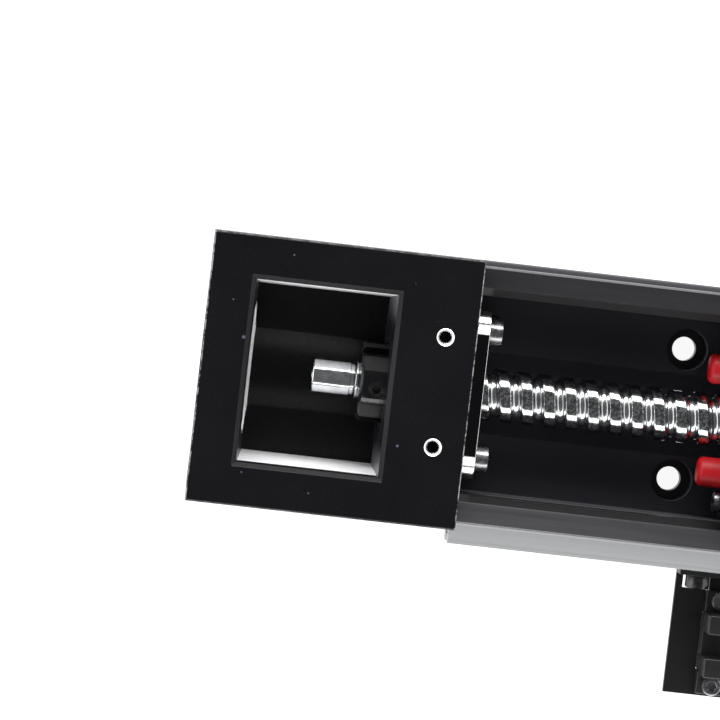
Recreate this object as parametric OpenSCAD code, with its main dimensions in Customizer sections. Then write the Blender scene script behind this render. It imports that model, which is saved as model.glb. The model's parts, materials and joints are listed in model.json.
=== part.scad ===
// Ball screw linear module. A carriage runs inside a U-shaped guide rail and a ball screw drives
// it. X runs from the motor end to the far end and Z is up. The origin is the centre of the
// rail's bottom face. All sizes are in millimetres.

/* [Guide rail] */
// Length of the guide rail
rail_l = 200; // [180:10:400]
// Width of the guide rail
rail_w = 57.5; // [56:0.5:60]
// Height that the housings and the carriage's top stand above the guide rail
rail_drop = 6; // [5:0.25:6.5]
// Distance between the two rail walls
channel_w = 44.5; // [44:0.25:45.5]
// Thickness of the rail's floor
rail_floor = 8; // [7:0.25:8.5]
// Chamfer on the inner top edge of each wall
wall_chamfer = 1.5; // [0.5:0.25:2]
// Small chamfer on the outer edges of blocks and rail
edge_chamfer = 0.4; // [0.2:0.1:0.8]
// Height of the screw's axis above the bottom face
axis_z = 15.5; // [15.25:0.25:16.5]
// Height of the lower guide raceway
raceway_z = 13.5; // [13:0.25:14]
// Distance between the two guide raceways in one wall
raceway_gap = 7; // [6.5:0.25:7.5]
// Distance between mounting holes along the rail
rail_hole_pitch = 100; // [60:5:120]
// Distance between mounting holes across the rail
rail_hole_gauge = 30; // [29:0.5:31]
// Diameter of the mounting holes
rail_hole_d = 5.5; // [4.5:0.1:6]
// Diameter of the counterbores of the mounting holes
rail_bore_d = 9.5; // [8:0.1:10]
// Depth of the counterbores of the mounting holes
rail_bore_depth = 5.4; // [4:0.2:6]

/* [Motor housing] */
// Length of the motor housing
housing_l = 60; // [56:1:75]
// Width of the two housings
housing_w = 60; // [58:0.5:64]
// Height of the two housings and of the carriage's top
housing_h = 33; // [32:0.5:36]
// Wall between the motor face and the coupling window
motor_wall = 9.2; // [8.5:0.1:11]
// Wall between the coupling window and the rail
bearing_wall = 17.3; // [16.5:0.1:20]
// Width of the coupling window at the top
window_w = 42.5; // [36:0.5:42.5]
// Bevel round the coupling window
window_bevel = 1; // [0.5:0.1:1.2]
// Thickness of the floor below the coupling window
pocket_floor = 4.6; // [3.5:0.1:6]
// Slope of each side wall of the pocket over its depth
side_taper = 1.1; // [0:0.1:1.5]
// Slope of the motor-side wall of the pocket over its depth
motor_taper = 1.4; // [0:0.1:1.6]
// Slope of the rail-side wall of the pocket over its depth
bearing_taper = 0.3; // [0:0.1:1]
// Diameter of the recess for the motor's pilot
pilot_d = 29; // [28.8:0.1:29.2]
// Depth of the recess for the motor's pilot
pilot_depth = 4; // [2.5:0.25:6]
// Diameter of the bore that the coupling passes through
coupling_bore_d = 28.5; // [27:0.25:28.5]
// Distance between the motor flange holes across the face
flange_hole_y = 36; // [34:0.5:37]
// Distance between the motor flange holes up the face
flange_hole_z = 17; // [14:0.5:18]
// Tapping diameter of the motor flange holes
flange_tap_d = 3.3; // [2.5:0.1:3.5]
// Depth of the motor flange holes
flange_tap_depth = 8; // [6:0.5:9]
// Distance between the two cover holes on top
cover_hole_gauge = 24.5; // [20:0.5:28]
// Distance of the cover holes from the rail
cover_hole_x = 7; // [4:0.5:12]
// Tapping diameter of the cover holes
cover_tap_d = 2.5; // [2:0.1:3]
// Depth of the cover holes
cover_tap_depth = 5; // [3:0.5:5.5]

/* [Far end housing] */
// Length of the far end housing
end_l = 11; // [10.5:0.5:16]
// Inner wall of the far end housing that its bearing rests on
end_wall = 4; // [3:0.5:4.5]

/* [Ball screw] */
// Diameter of the ball screw over its lands
screw_d = 12; // [11.5:0.1:12]
// Lead of the ball screw
lead = 5; // [4:1:6]
// Diameter of the shoulder that rests on the front bearings
shoulder_d = 11.4; // [11.2:0.1:11.6]
// Diameter of the balls in the nut
nut_ball_d = 2; // [1.8:0.1:2.2]
// Diameter of the journal in the front bearings
journal_d = 10; // [9.5:0.1:10]
// Diameter of the lock nut's thread
thread_d = 9; // [8.5:0.1:9.4]
// Thread that stands out of the lock nut
thread_out = 1.2; // [0.8:0.1:2]
// Diameter of the shaft end that takes the coupling
shaft_d = 8; // [6:0.1:8.2]
// Length of the shaft end that takes the coupling
shaft_l = 9.4; // [6:0.1:14]
// Diameter of the journal in the far bearing
tail_d = 8; // [7:0.1:8]

/* [Bearings] */
// Outer diameter of the front bearings
bearing_od = 22; // [21:0.5:22]
// Width of one front bearing
bearing_w = 6; // [5.5:0.1:6.2]
// Diameter of the front bearing balls
bearing_ball_d = 3; // [2.4:0.1:3]
// Outer diameter of the far bearing
tail_bearing_od = 16; // [15:0.5:18]
// Width of the far bearing
tail_bearing_w = 5; // [4:0.5:5]
// Diameter of the far bearing balls
tail_ball_d = 2; // [1.6:0.1:2]
// Length of the spacer between the lock nut and the bearings
spacer_l = 2.1; // [1.5:0.1:3]
// Outer diameter of the lock nut
lock_nut_d = 18; // [16:0.5:18]
// Length of the lock nut
lock_nut_l = 10; // [8:0.5:11]
// Width of the wrench slots in the lock nut
wrench_slot_w = 3; // [2:0.25:4]
// Depth of the wrench slots in the lock nut
wrench_slot_depth = 2; // [1:0.25:2.5]
// Distance of the set screws from the lock nut's motor end
set_screw_x = 3.8; // [3:0.1:5]

/* [Bearing retainer plate] */
// Width of the retainer plate
plate_w = 37.6; // [36.5:0.2:40]
// Thickness of the retainer plate
plate_t = 3.2; // [2:0.1:4]
// Height of the retainer plate's top edge
plate_top = 27.5; // [27:0.25:29]
// Radius of the retainer plate's top corners
plate_r = 4.15; // [2:0.25:5]
// Radius of the retainer plate's bottom corners
plate_foot_r = 1.5; // [0.5:0.25:2]
// Diameter of the hole for the seal
plate_hole_d = 18; // [16:0.25:18]

/* [Carriage] */
// Length of the carriage block
block_l = 58; // [54:1:80]
// Gap between the carriage and each wall of the rail
side_gap = 1.25; // [1:0.05:1.5]
// Thickness of the carriage's end plates
end_plate_t = 8; // [6:0.5:12]
// Thickness of the wipers
wiper_t = 2; // [1:0.25:3]
// Diameter of the bumpers
bumper_d = 6.8; // [5:0.1:7]
// Length of the bumpers past the wipers
bumper_l = 6.9; // [6.3:0.1:9]
// Distance of each bumper from the middle
bumper_y = 11.7; // [11.4:0.1:12]
// Height of the bumpers
bumper_z = 17; // [16.75:0.25:17.25]
// Distance between the table holes along the carriage
table_hole_pitch = 30; // [24:1:34]
// Distance between the table holes across the carriage
table_hole_gauge = 30; // [28:0.5:31]
// Tapping diameter of the table holes
table_tap_d = 4.2; // [3.3:0.1:4.4]
// Diameter of the guide balls
guide_ball_d = 3; // [2.6:0.1:3]
// Distance between neighbouring guide balls
guide_ball_pitch = 3.5; // [3.3:0.1:5]

/* [Ball nut] */
// Width of the ball nut's flange round the nut
nut_rim = 4.4; // [4.4:0.1:4.8]
// Length of the ball nut
nut_l = 36; // [35:1:44]
// Thickness of the ball nut's flange
nut_flange_t = 5; // [4.5:0.25:6]
// Number of ball circuits in the nut
circuits = 3; // [1:1:3]

/* [Sensors] */
// Height of the sensor rail's top edge
sensor_rail_top = 16; // [15:0.5:18]
// Height of the sensor rail's slot
slot_z = 10; // [9:0.5:11]
// Thickness of the sensor rail
sensor_rail_t = 5.6; // [5:0.2:7]
// Distance between the screws of the sensor rail
sensor_rail_pitch = 80; // [60:5:85]
// Place of the near sensor along the rail
near_sensor_x = -36; // [-60:1:-30]
// Place of the far sensor along the rail
far_sensor_x = 62; // [40:1:70]
// Distance of the sensors from the middle of the rail
sensor_y = 50.7; // [50.2:0.1:54]
// Width of a sensor along the rail
sensor_w = 6.8; // [6:0.1:7.2]
// Length of a sensor across the rail
sensor_l = 23.8; // [23:0.1:24]
// Gap between the arms of a sensor
sensor_gap = 5.4; // [4.5:0.1:6]
// Thickness of a sensor's arm
sensor_arm_t = 4.4; // [3:0.1:4.6]
// Height of a sensor's arms
sensor_arm_h = 9; // [6:0.5:10]
// Thickness of a sensor's ears
sensor_ear_t = 3; // [2:0.25:4]
// Distance between the sensor's fixing holes
sensor_hole_gauge = 19.4; // [18.8:0.1:20]
// Thickness of the bent sheet parts
sheet_t = 1.2; // [0.8:0.1:1.4]
// Place of the flag along the carriage
flag_x = 12; // [6:1:18]
// Length of the flag's blade
blade_l = 10; // [6:1:14]

/* [Hidden] */
$fn = 48;

// Overshoot of cuts, and clearances between pieces
cut = 1;
ball_gap = 0.15;
hole_gap = 0.1;
seat_gap = 0.15;
shaft_gap = 0.3;
lip_gap = 0.35;
channel_gap = 1;
lock_nut_gap = 0.75;
tip_gap = 0.5;

// Ends of the rail and levels
x0 = -rail_l / 2;
x1 = rail_l / 2;
rail_h = housing_h - rail_drop;
carriage_w = channel_w - 2 * side_gap;
block_bottom = rail_floor + channel_gap;
block_end = block_l / 2;
plate_end = block_end + end_plate_t;
wiper_end = plate_end + wiper_t;
plate_foot = rail_floor + 0.4;

// Screws of the assembly, by thread diameter
m25 = 2.5;
m3 = 3;
m4 = 4;
function head_d(d) = 1.5 * d + 1;
function hex_d(d) = 0.92 * d;
function hex_nut_d(d) = 2.1 * d;
cap_shrink = 1.3;
// Joint between rail and housings
joint_y = 25;
joint_z = [5, 17];
joint_grip = 10;
joint_wall = 12;
joint_bore_d = 7.5;
end_bore_depth = 4.4;
cover_chamfer = 0.7;
// Places of the retainer screws, as distance from the middle and height
retainer_places = [[14.2, 23], [15, 11.5]];
retainer_grip = 6;

// Guide raceways
raceway_d = guide_ball_d + 2 * ball_gap;
raceway_bite = 0.65;
return_step = 4.1;
raceway_y = channel_w / 2 - raceway_bite;
return_y = raceway_y - return_step;
raceways = [raceway_z, raceway_z + raceway_gap];
table_web = 0.85;
table_tap_depth = housing_h - raceways[1] - raceway_d / 2 - table_web;
guide_balls_in_row = floor((block_l - guide_ball_d) / guide_ball_pitch) + 1;

// Helix of the ball screw and nut
path_r = screw_d / 2 + ball_gap;
groove_gap = 0.2;
groove_r = nut_ball_d / 2 + groove_gap;
nut_groove_r = groove_r + hole_gap;
screw_steps = 18;
nut_steps = 24;
nut_sides = 8;
screw_shoulder = 3;
half_turns_l = ceil(x1 / lead) * lead;
screw_turns = 2 * half_turns_l / lead + 1;
nut_bore_d = screw_d + 2 * shaft_gap;
journal_chamfer = 0.4;
centre_hole_d = 3.2;
centre_hole_depth = 2;
nut_x = -block_end;
flange_web = 0.45;
nut_flange_d = 2 * (return_y - raceway_d / 2 - flange_web);
nut_d = nut_flange_d - 2 * nut_rim;
nut_ceiling = housing_h - 2;
nut_seat = 2;
nut_path_x = ceil((nut_x + nut_flange_t) / lead) * lead;
nut_turns = circuits + 1;
circuit_step = 480;
circuit_start = 60;
ball_arc = [40, 320];
balls_in_circuit = 14;
deflector_w = 5;
deflector_l = lead + 4;
deflector_sink = 0.5;
nut_screw_r = nut_flange_d / 2 - 2.4;
nut_screw_angles = [-10, 45, 135, 190];
nut_screw_l = nut_flange_t + 3;
relief_r = nut_d / 2 + channel_gap;

// Front bearings
bearing_pitch_r = (bearing_od + journal_d) / 4;
ring_wall = 1.9;
bearing_x = x0 - 2 * bearing_w;
spacer_x = bearing_x - spacer_l;
lock_nut_x = spacer_x - lock_nut_l;
thread_x = lock_nut_x - thread_out;
shaft_x = thread_x - shaft_l;
spacer_d = 14;
cage_t = 1;
cage_margin = 0.7;
lock_nut_chamfer = 0.6;
set_screw_sink = 0.8;
set_screw_angles = [-10, 110, 230];
wrench_slot_angles = [50, 170, 290];

// Far bearing
tail_pitch_r = 6;
tail_ring_wall = 1.15;
tail_ring_lip = 0.2;
tail_bearing_x = x1 + end_wall;
circlip_t = 0.8;
circlip_groove = 0.3;
circlip_rim = 1;
tail_x = tail_bearing_x + tail_bearing_w + 2 * circlip_t;

// End plates of the carriage
end_screw_places = [[carriage_w / 2 - 4.5, housing_h - 4], [carriage_w / 2 - 2.8, 17]];
end_screw_grip = 7;
axis_boss_d = 19;
bumper_chamfer = 0.9;
// Grease nipple: its height, then its six-sided seat, neck and ball head
nipple_z = housing_h - 4.6;
nipple_hex_d = 5.6;
nipple_hex_l = 2;
nipple_neck_l = 1.4;
nipple_neck_d = 2.4;
nipple_head_d = 3.2;

// Sensor rail
slot_lip = 1.6;
slot_w = 3.4;
slot_cavity_w = 6.2;
slot_web = 1.4;
sensor_rail_foot = 2 * slot_z - sensor_rail_top;
rail_side = -rail_w / 2;
rail_face = rail_side - sensor_rail_t;
sensor_rail_grip = 3.8;
csk_d = 5.5;
flange_face = rail_face - seat_gap - sheet_t;
// Bracket, measured from the sensor's middle
bracket_from = -10.4;
bracket_to = 6;
clamp_x = -5.7;
bracket_drop = 2.6;
bracket_z = slot_z - bracket_drop;
bracket_top = bracket_z + sheet_t;
bracket_rise = 4;
bracket_margin = 0.7;
bracket_end = sensor_y + sensor_l / 2 + bracket_margin;
terminal_l = 13;
pin_w = 0.6;
pin_l = 3;
pin_gap = 2.5;
slot_nut_l = 9;
slot_nut_grip = 2;
// Low heads, shanks past the bracket and nuts of the sensor's screws
low_head_d = 4.5;
low_head_t = 1.6;
sensor_screw_tail = 3;
sensor_nut_t = 2.4;
// Flag
flag_plate_l = 24;
flag_screw_pitch = 16;
flag_screw_grip = 4;
flag_lift = 0.6;
flag_z = rail_h + flag_lift;
flag_top = housing_h - shaft_gap;
flag_screw_z = (flag_z + flag_top) / 2 + hole_gap;
flag_arm_w = flag_screw_pitch - head_d(m25) - 2 * lip_gap;
blade_lift = 4.2;
blade_foot = slot_z + blade_lift;

// Puts children on the screw's axis, with their Z along X
module on_axis(x) translate([x, 0, axis_z]) rotate([0, 90, 0]) children();
module rod_x(x, l, d) on_axis(x) cylinder(d = d, h = l);
// Extrudes a YZ outline along X
module extrude_x(x, l) translate([x, 0, 0]) rotate([90, 0, 90]) linear_extrude(l) children();
// Extrudes an XZ outline across Y
module extrude_y(w) rotate([90, 0, 0]) linear_extrude(w, center = true) children();
// Places with their Z along +X, -X and -Y
module facing_far(p) translate(p) rotate([0, 90, 0]) children();
module facing_motor(p) translate(p) rotate([0, -90, 0]) children();
module facing_sensor(p) translate(p) rotate([90, 0, 0]) children();
// Turns children about the screw's axis, from +Z towards +Y
module around_axis(angles) for (a = angles) translate([0, 0, axis_z]) rotate([-a, 0, 0]) children();

// Socket head screw: underside of the head at the origin, shank downwards
module socket_screw(d, l) difference() {
  union() {
    cylinder(d = head_d(d), h = d);
    translate([0, 0, -l]) cylinder(d = d, h = l);
  }
  translate([0, 0, d / 2]) cylinder(d = hex_d(d), h = d, $fn = 6);
}

// Hexagon nut with its top face at the origin
module hex_nut(d, t) translate([0, 0, -t]) difference() {
  cylinder(d = hex_nut_d(d), h = t, $fn = 6);
  translate([0, 0, -cut]) cylinder(d = d, h = t + 2 * cut);
}

// Outline of a plate with its own radius at the top and bottom corners
module rounded_plate(w, h, top_r, foot_r) union() {
  translate([-w / 2, foot_r]) square([w, h - foot_r - top_r]);
  translate([-w / 2 + top_r, h / 2]) square([w - 2 * top_r, h / 2]);
  translate([-w / 2 + foot_r, 0]) square([w - 2 * foot_r, h / 2]);
  for (s = [-1, 1]) {
    translate([s * (w / 2 - top_r), h - top_r]) circle(r = top_r);
    translate([s * (w / 2 - foot_r), foot_r]) circle(r = foot_r);
  }
}

// Outline of a block with small chamfers on its four corners
module chamfered(w, z0, z1, c) polygon([
  [-w / 2 + c, z0], [w / 2 - c, z0], [w / 2, z0 + c], [w / 2, z1 - c],
  [w / 2 - c, z1], [-w / 2 + c, z1], [-w / 2, z1 - c], [-w / 2, z0 + c]]);

module raceway_circles(y, d) for (s = [-1, 1], z = raceways) translate([s * y, z]) circle(d = d);

module joint_places(x) for (s = [-1, 1], z = joint_z) translate([x, s * joint_y, z]) children();
module retainer_screw_places(x) for (s = [-1, 1], p = retainer_places)
  translate([x, s * p[0], p[1]]) children();
module end_screw_holes(x) for (s = [-1, 1], p = end_screw_places)
  translate([x, s * p[0], p[1]]) children();

// ---- Guide rail ----

module rail_section() difference() {
  chamfered(rail_w, 0, rail_h, edge_chamfer);
  polygon([
    [-channel_w / 2, rail_floor], [channel_w / 2, rail_floor],
    [channel_w / 2, rail_h - wall_chamfer], [channel_w / 2 + wall_chamfer, rail_h],
    [channel_w / 2 + wall_chamfer, rail_h + cut], [-channel_w / 2 - wall_chamfer, rail_h + cut],
    [-channel_w / 2 - wall_chamfer, rail_h], [-channel_w / 2, rail_h - wall_chamfer]]);
  translate([0, axis_z]) circle(r = relief_r);
  raceway_circles(raceway_y, raceway_d);
}

module base_rail() color("#1d1d20") difference() {
  extrude_x(x0, rail_l) rail_section();
  for (x = [-1, 1], y = [-1, 1])
    translate([x * rail_hole_pitch / 2, y * rail_hole_gauge / 2, -cut]) {
      cylinder(d = rail_hole_d, h = rail_floor + 2 * cut);
      translate([0, 0, cut + rail_floor - rail_bore_depth])
        cylinder(d = rail_bore_d, h = rail_bore_depth + cut);
    }
  for (x = [x0 - cut, x1 - joint_grip - tip_gap])
    joint_places(x) rotate([0, 90, 0]) cylinder(d = m4, h = joint_grip + tip_gap + cut);
  for (i = [-1:1])
    facing_sensor([i * sensor_rail_pitch, rail_side + sensor_rail_grip + tip_gap, slot_z])
      cylinder(d = m3, h = sensor_rail_grip + tip_gap + cut);
}

// ---- Motor housing ----

// Tapered pocket: the part common to one outline seen from the side and one from the end
module coupling_window() {
  motor_edge = x0 - housing_l + motor_wall;
  rail_edge = x0 - bearing_wall;
  rim = housing_h - window_bevel;
  intersection() {
    extrude_y(housing_w) polygon([
      [motor_edge + window_bevel + motor_taper, pocket_floor],
      [rail_edge - window_bevel - bearing_taper, pocket_floor],
      [rail_edge - window_bevel, rim], [rail_edge + cut, housing_h + cut],
      [motor_edge - cut, housing_h + cut], [motor_edge + window_bevel, rim]]);
    extrude_x(x0 - housing_l, housing_l) polygon([
      [-window_w / 2 + window_bevel + side_taper, pocket_floor],
      [window_w / 2 - window_bevel - side_taper, pocket_floor],
      [window_w / 2 - window_bevel, rim], [window_w / 2 + cut, housing_h + cut],
      [-window_w / 2 - cut, housing_h + cut], [-window_w / 2 + window_bevel, rim]]);
  }
}

module motor_housing() color("#18181a") difference() {
  extrude_x(x0 - housing_l, housing_l) chamfered(housing_w, 0, housing_h, edge_chamfer);
  coupling_window();
  rod_x(x0 - housing_l - cut, pilot_depth + cut, pilot_d);
  // Bore for the coupling, which also grooves the pocket's floor
  rod_x(x0 - housing_l - cut, housing_l - bearing_wall - window_bevel - bearing_taper + cut,
    coupling_bore_d);
  // Room for the lock nut, then the seat of the bearings
  rod_x(x0 - bearing_wall - 2 * cut, bearing_wall, lock_nut_d + 2 * lock_nut_gap);
  rod_x(bearing_x, 2 * bearing_w + cut, bearing_od);
  // Holes of the motor flange
  for (y = [-1, 1], z = [-1, 1])
    translate([x0 - housing_l - cut, y * flange_hole_y / 2, axis_z + z * flange_hole_z / 2])
      rotate([0, 90, 0]) cylinder(d = flange_tap_d, h = flange_tap_depth + cut);
  // Holes of the cover
  for (y = [-1, 1]) translate([x0 - cover_hole_x, y * cover_hole_gauge / 2, housing_h]) {
    translate([0, 0, -cover_tap_depth]) cylinder(d = cover_tap_d, h = cover_tap_depth + cut);
    translate([0, 0, -cover_chamfer]) cylinder(d1 = cover_tap_d,
      d2 = cover_tap_d + 2 * (cover_chamfer + cut), h = cover_chamfer + cut);
  }
  // Holes of the screws into the rail, with deep counterbores from the motor face
  joint_places(x0 - joint_wall - cut) rotate([0, 90, 0])
    cylinder(d = m4 + 2 * hole_gap, h = joint_wall + 2 * cut);
  joint_places(x0 - housing_l - cut) rotate([0, 90, 0])
    cylinder(d = joint_bore_d, h = housing_l - joint_wall + cut);
  // Holes of the retainer plate
  retainer_screw_places(x0 - retainer_grip - tip_gap) rotate([0, 90, 0])
    cylinder(d = m3, h = retainer_grip + tip_gap + cut);
}

module housing_screws() color("#3a3a3e") joint_places(x0 - joint_wall)
  rotate([0, -90, 0]) socket_screw(m4, joint_wall + joint_grip);

// ---- Front bearings ----

module bearing_retainer_plate() color("#d9dade") difference() {
  translate([0, 0, plate_foot])
    extrude_x(x0, plate_t) rounded_plate(plate_w, plate_top - plate_foot, plate_r, plate_foot_r);
  rod_x(x0 - cut, plate_t + 2 * cut, plate_hole_d);
  retainer_screw_places(x0 - cut) rotate([0, 90, 0])
    cylinder(d = m3 + 2 * hole_gap, h = plate_t + 2 * cut);
}

module retainer_screws() color("#4a4a4e") retainer_screw_places(x0 + plate_t)
  rotate([0, 90, 0]) socket_screw(m3, plate_t + retainer_grip);

// One bearing ring, with its groove for the balls
module bearing_ring(inner_r, outer_r, w, pitch_r, ball_d) rotate_extrude() difference() {
  translate([inner_r, 0]) square([outer_r - inner_r, w]);
  translate([pitch_r, w / 2]) circle(d = ball_d + 2 * ball_gap);
}

function ball_count(pitch_r, ball_d) = floor(2 * PI * pitch_r / (1.5 * ball_d));

module ball_ring(w, pitch_r, ball_d) {
  n = ball_count(pitch_r, ball_d);
  for (i = [0:n - 1]) rotate([0, 0, 360 * i / n]) translate([pitch_r, 0, w / 2]) sphere(d = ball_d);
}

module front_bearing_outer_rings() color("#c9cbd0") for (i = [0, 1])
  on_axis(bearing_x + i * bearing_w) bearing_ring(bearing_od / 2 - ring_wall, bearing_od / 2,
    bearing_w, bearing_pitch_r, bearing_ball_d);

module front_bearing_inner_rings() color("#c9cbd0") for (i = [0, 1])
  on_axis(bearing_x + i * bearing_w) bearing_ring(journal_d / 2, journal_d / 2 + ring_wall,
    bearing_w, bearing_pitch_r, bearing_ball_d);

module front_bearing_balls() color("#e4e5e8") for (i = [0, 1])
  on_axis(bearing_x + i * bearing_w) ball_ring(bearing_w, bearing_pitch_r, bearing_ball_d);

module front_bearing_cages() color("#8a6a3a") for (i = [0, 1])
  on_axis(bearing_x + i * bearing_w) difference() {
    n = ball_count(bearing_pitch_r, bearing_ball_d);
    rotate_extrude() translate([bearing_pitch_r - cage_t / 2, cage_margin])
      square([cage_t, bearing_w - 2 * cage_margin]);
    for (i = [0:n - 1]) rotate([0, 0, 360 * i / n])
      translate([bearing_pitch_r - cage_t, 0, bearing_w / 2]) rotate([0, 90, 0])
        cylinder(d = bearing_ball_d + 2 * ball_gap, h = 2 * cage_t);
  }

module screw_seal() color("#202022") difference() {
  rod_x(x0 + 2 * hole_gap, plate_t - 2 * hole_gap, plate_hole_d);
  rod_x(x0 - cut, plate_t + 2 * cut, screw_d + 2 * shaft_gap);
}

module bearing_spacer() color("#b8babf") difference() {
  rod_x(spacer_x, spacer_l, spacer_d);
  rod_x(spacer_x - cut, spacer_l + 2 * cut, journal_d);
}

// ---- Lock nut ----

module lock_nut() color("#101012") difference() {
  c = lock_nut_chamfer;
  on_axis(lock_nut_x) rotate_extrude() polygon([
    [thread_d / 2, 0], [lock_nut_d / 2 - c, 0], [lock_nut_d / 2, c],
    [lock_nut_d / 2, lock_nut_l - c], [lock_nut_d / 2 - c, lock_nut_l], [thread_d / 2, lock_nut_l]]);
  around_axis(wrench_slot_angles)
    translate([lock_nut_x - cut, -wrench_slot_w / 2, lock_nut_d / 2 - wrench_slot_depth])
      cube([lock_nut_l + 2 * cut, wrench_slot_w, wrench_slot_depth + cut]);
  around_axis(set_screw_angles) translate([lock_nut_x + set_screw_x, 0, 0])
    cylinder(d = m4, h = lock_nut_d);
}

module lock_nut_set_screws() color("#2a2a2d") around_axis(set_screw_angles)
  translate([lock_nut_x + set_screw_x, 0, thread_d / 2]) {
    l = lock_nut_d / 2 - thread_d / 2 - set_screw_sink;
    difference() {
      cylinder(d = m4, h = l);
      translate([0, 0, l / 2]) cylinder(d = m4 / 2 + hole_gap, h = l, $fn = 6);
    }
  }

// ---- Ball screw ----

function helix_point(a, x, r) = [x, r * cos(a), r * sin(a)];

// Solid rod whose axial profile (points of place and radius over one lead) winds along it
module helical_rod(profile, turns, n) {
  p = len(profile);
  m = n * turns;
  skin = [for (i = [0:m], j = [0:p - 1])
    helix_point(360 * i / n, lead * i / n + profile[j][0], profile[j][1])];
  s = len(skin);
  points = concat(skin, [[lead / 2, 0, 0], [lead * (turns + 0.5), 0, 0]]);
  function v(i, j) = j < p ? i * p + j : (i + n) * p;
  sides = [for (i = [0:m - 1], j = [0:p - 1]) if (j < p - 1 || i <= m - 1 - n)
    each [[v(i, j), v(i, j + 1), v(i + 1, j + 1)], [v(i, j), v(i + 1, j + 1), v(i + 1, j)]]];
  first = concat([for (i = [0:n]) v(i, 0)], [for (j = [p - 1:-1:1]) v(0, j)]);
  last = concat([for (j = [0:p - 1]) v(m, j)], [for (i = [m - 1:-1:m - n]) v(i, p - 1)]);
  caps = concat(
    [for (k = [0:len(first) - 1]) [s, first[k], first[(k + 1) % len(first)]]],
    [for (k = [0:len(last) - 1]) [s + 1, last[k], last[(k + 1) % len(last)]]]);
  polyhedron(points, concat(sides, caps), convexity = 10);
}

// Round groove that winds along the same helix
module helical_groove(r, turns, n, sides) {
  m = n * turns;
  skin = [for (i = [0:m], j = [0:sides - 1])
    helix_point(360 * i / n, lead * i / n + r * sin(360 * j / sides),
      path_r + r * cos(360 * j / sides))];
  s = len(skin);
  points = concat(skin, [helix_point(0, 0, path_r), helix_point(0, lead * turns, path_r)]);
  function v(i, j) = i * sides + j % sides;
  sleeve = [for (i = [0:m - 1], j = [0:sides - 1])
    each [[v(i, j), v(i + 1, j + 1), v(i + 1, j)], [v(i, j), v(i, j + 1), v(i + 1, j + 1)]]];
  caps = [for (j = [0:sides - 1])
    each [[s, v(0, j + 1), v(0, j)], [s + 1, v(m, j), v(m, j + 1)]]];
  polyhedron(points, concat(sleeve, caps), convexity = 10);
}

module thread_of_screw() {
  edge_a = acos((path_r - screw_d / 2) / groove_r);
  edge = groove_r * sin(edge_a);
  mid_x = groove_r * sin(edge_a / 2);
  mid_r = path_r - groove_r * cos(edge_a / 2);
  profile = [[edge, screw_d / 2], [lead - edge, screw_d / 2], [lead - mid_x, mid_r],
    [lead, path_r - groove_r], [lead + mid_x, mid_r]];
  intersection() {
    translate([-half_turns_l - lead, 0, axis_z])
      helical_rod(profile, screw_turns, screw_steps);
    translate([x0 + screw_shoulder, -screw_d, axis_z - screw_d])
      cube([rail_l - 2 * screw_shoulder, 2 * screw_d, 2 * screw_d]);
  }
}

module ball_screw() color("#d4d6da") difference() {
  c = journal_chamfer;
  union() {
    thread_of_screw();
    rod_x(x0, screw_shoulder + hole_gap, shoulder_d);
    rod_x(spacer_x, x0 - spacer_x, journal_d);
    rod_x(thread_x, spacer_x - thread_x, thread_d);
    on_axis(shaft_x) cylinder(d1 = shaft_d - 2 * c, d2 = shaft_d, h = c);
    rod_x(shaft_x + c, shaft_l - c, shaft_d);
    rod_x(x1 - screw_shoulder - hole_gap, tail_x - c - x1 + screw_shoulder + hole_gap, tail_d);
    on_axis(tail_x - c) cylinder(d1 = tail_d, d2 = tail_d - 2 * c, h = c);
  }
  on_axis(shaft_x - hole_gap)
    cylinder(d1 = centre_hole_d, d2 = centre_hole_d / 3, h = centre_hole_depth);
  on_axis(tail_bearing_x + tail_bearing_w) rotate_extrude()
    translate([tail_d / 2 - circlip_groove, 0]) square([cut, circlip_t]);
}

// ---- Far end ----

module end_housing() color("#18181a") difference() {
  extrude_x(x1, end_l) chamfered(housing_w, 0, housing_h, edge_chamfer);
  rod_x(x1 - cut, end_l, screw_d + 2 * tip_gap);
  rod_x(tail_bearing_x, end_l, tail_bearing_od);
  joint_places(x1 - cut) rotate([0, 90, 0]) cylinder(d = m4 + 2 * hole_gap, h = end_l + 2 * cut);
  joint_places(x1 + end_l - end_bore_depth) rotate([0, 90, 0])
    cylinder(d = joint_bore_d, h = end_bore_depth + cut);
}

module end_housing_screws() color("#3a3a3e") joint_places(x1 + end_l - end_bore_depth)
  rotate([0, 90, 0]) socket_screw(m4, end_l - end_bore_depth + joint_grip);

module end_bearing_outer_ring() color("#c9cbd0") on_axis(tail_bearing_x)
  bearing_ring(tail_pitch_r + tail_ball_d / 2 - tail_ring_lip, tail_bearing_od / 2,
    tail_bearing_w, tail_pitch_r, tail_ball_d);

module end_bearing_inner_ring() color("#c9cbd0") on_axis(tail_bearing_x)
  bearing_ring(tail_d / 2, tail_d / 2 + tail_ring_wall, tail_bearing_w, tail_pitch_r,
    tail_ball_d);

module end_bearing_balls() color("#e4e5e8") on_axis(tail_bearing_x)
  ball_ring(tail_bearing_w, tail_pitch_r, tail_ball_d);

module end_circlip() color("#5a5a5e") on_axis(tail_bearing_x + tail_bearing_w) difference() {
  cylinder(r = tail_d / 2 + circlip_rim, h = circlip_t);
  translate([0, 0, -cut]) cylinder(r = tail_d / 2 - circlip_groove, h = circlip_t + 2 * cut);
  translate([0, -tail_d / 4, -cut]) cube([tail_d, tail_d / 2, circlip_t + 2 * cut]);
}

// ---- Carriage ----

module carriage_section(inset) chamfered(carriage_w - 2 * inset, block_bottom + inset,
  housing_h - inset, 2 * edge_chamfer);

// Slab that cuts the nut's flange flat, below and above, where the carriage ends
module flange_slab(low, high) translate([nut_x - cut, -carriage_w / 2, low])
  cube([nut_flange_t + 2 * cut, carriage_w, high - low]);

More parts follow.
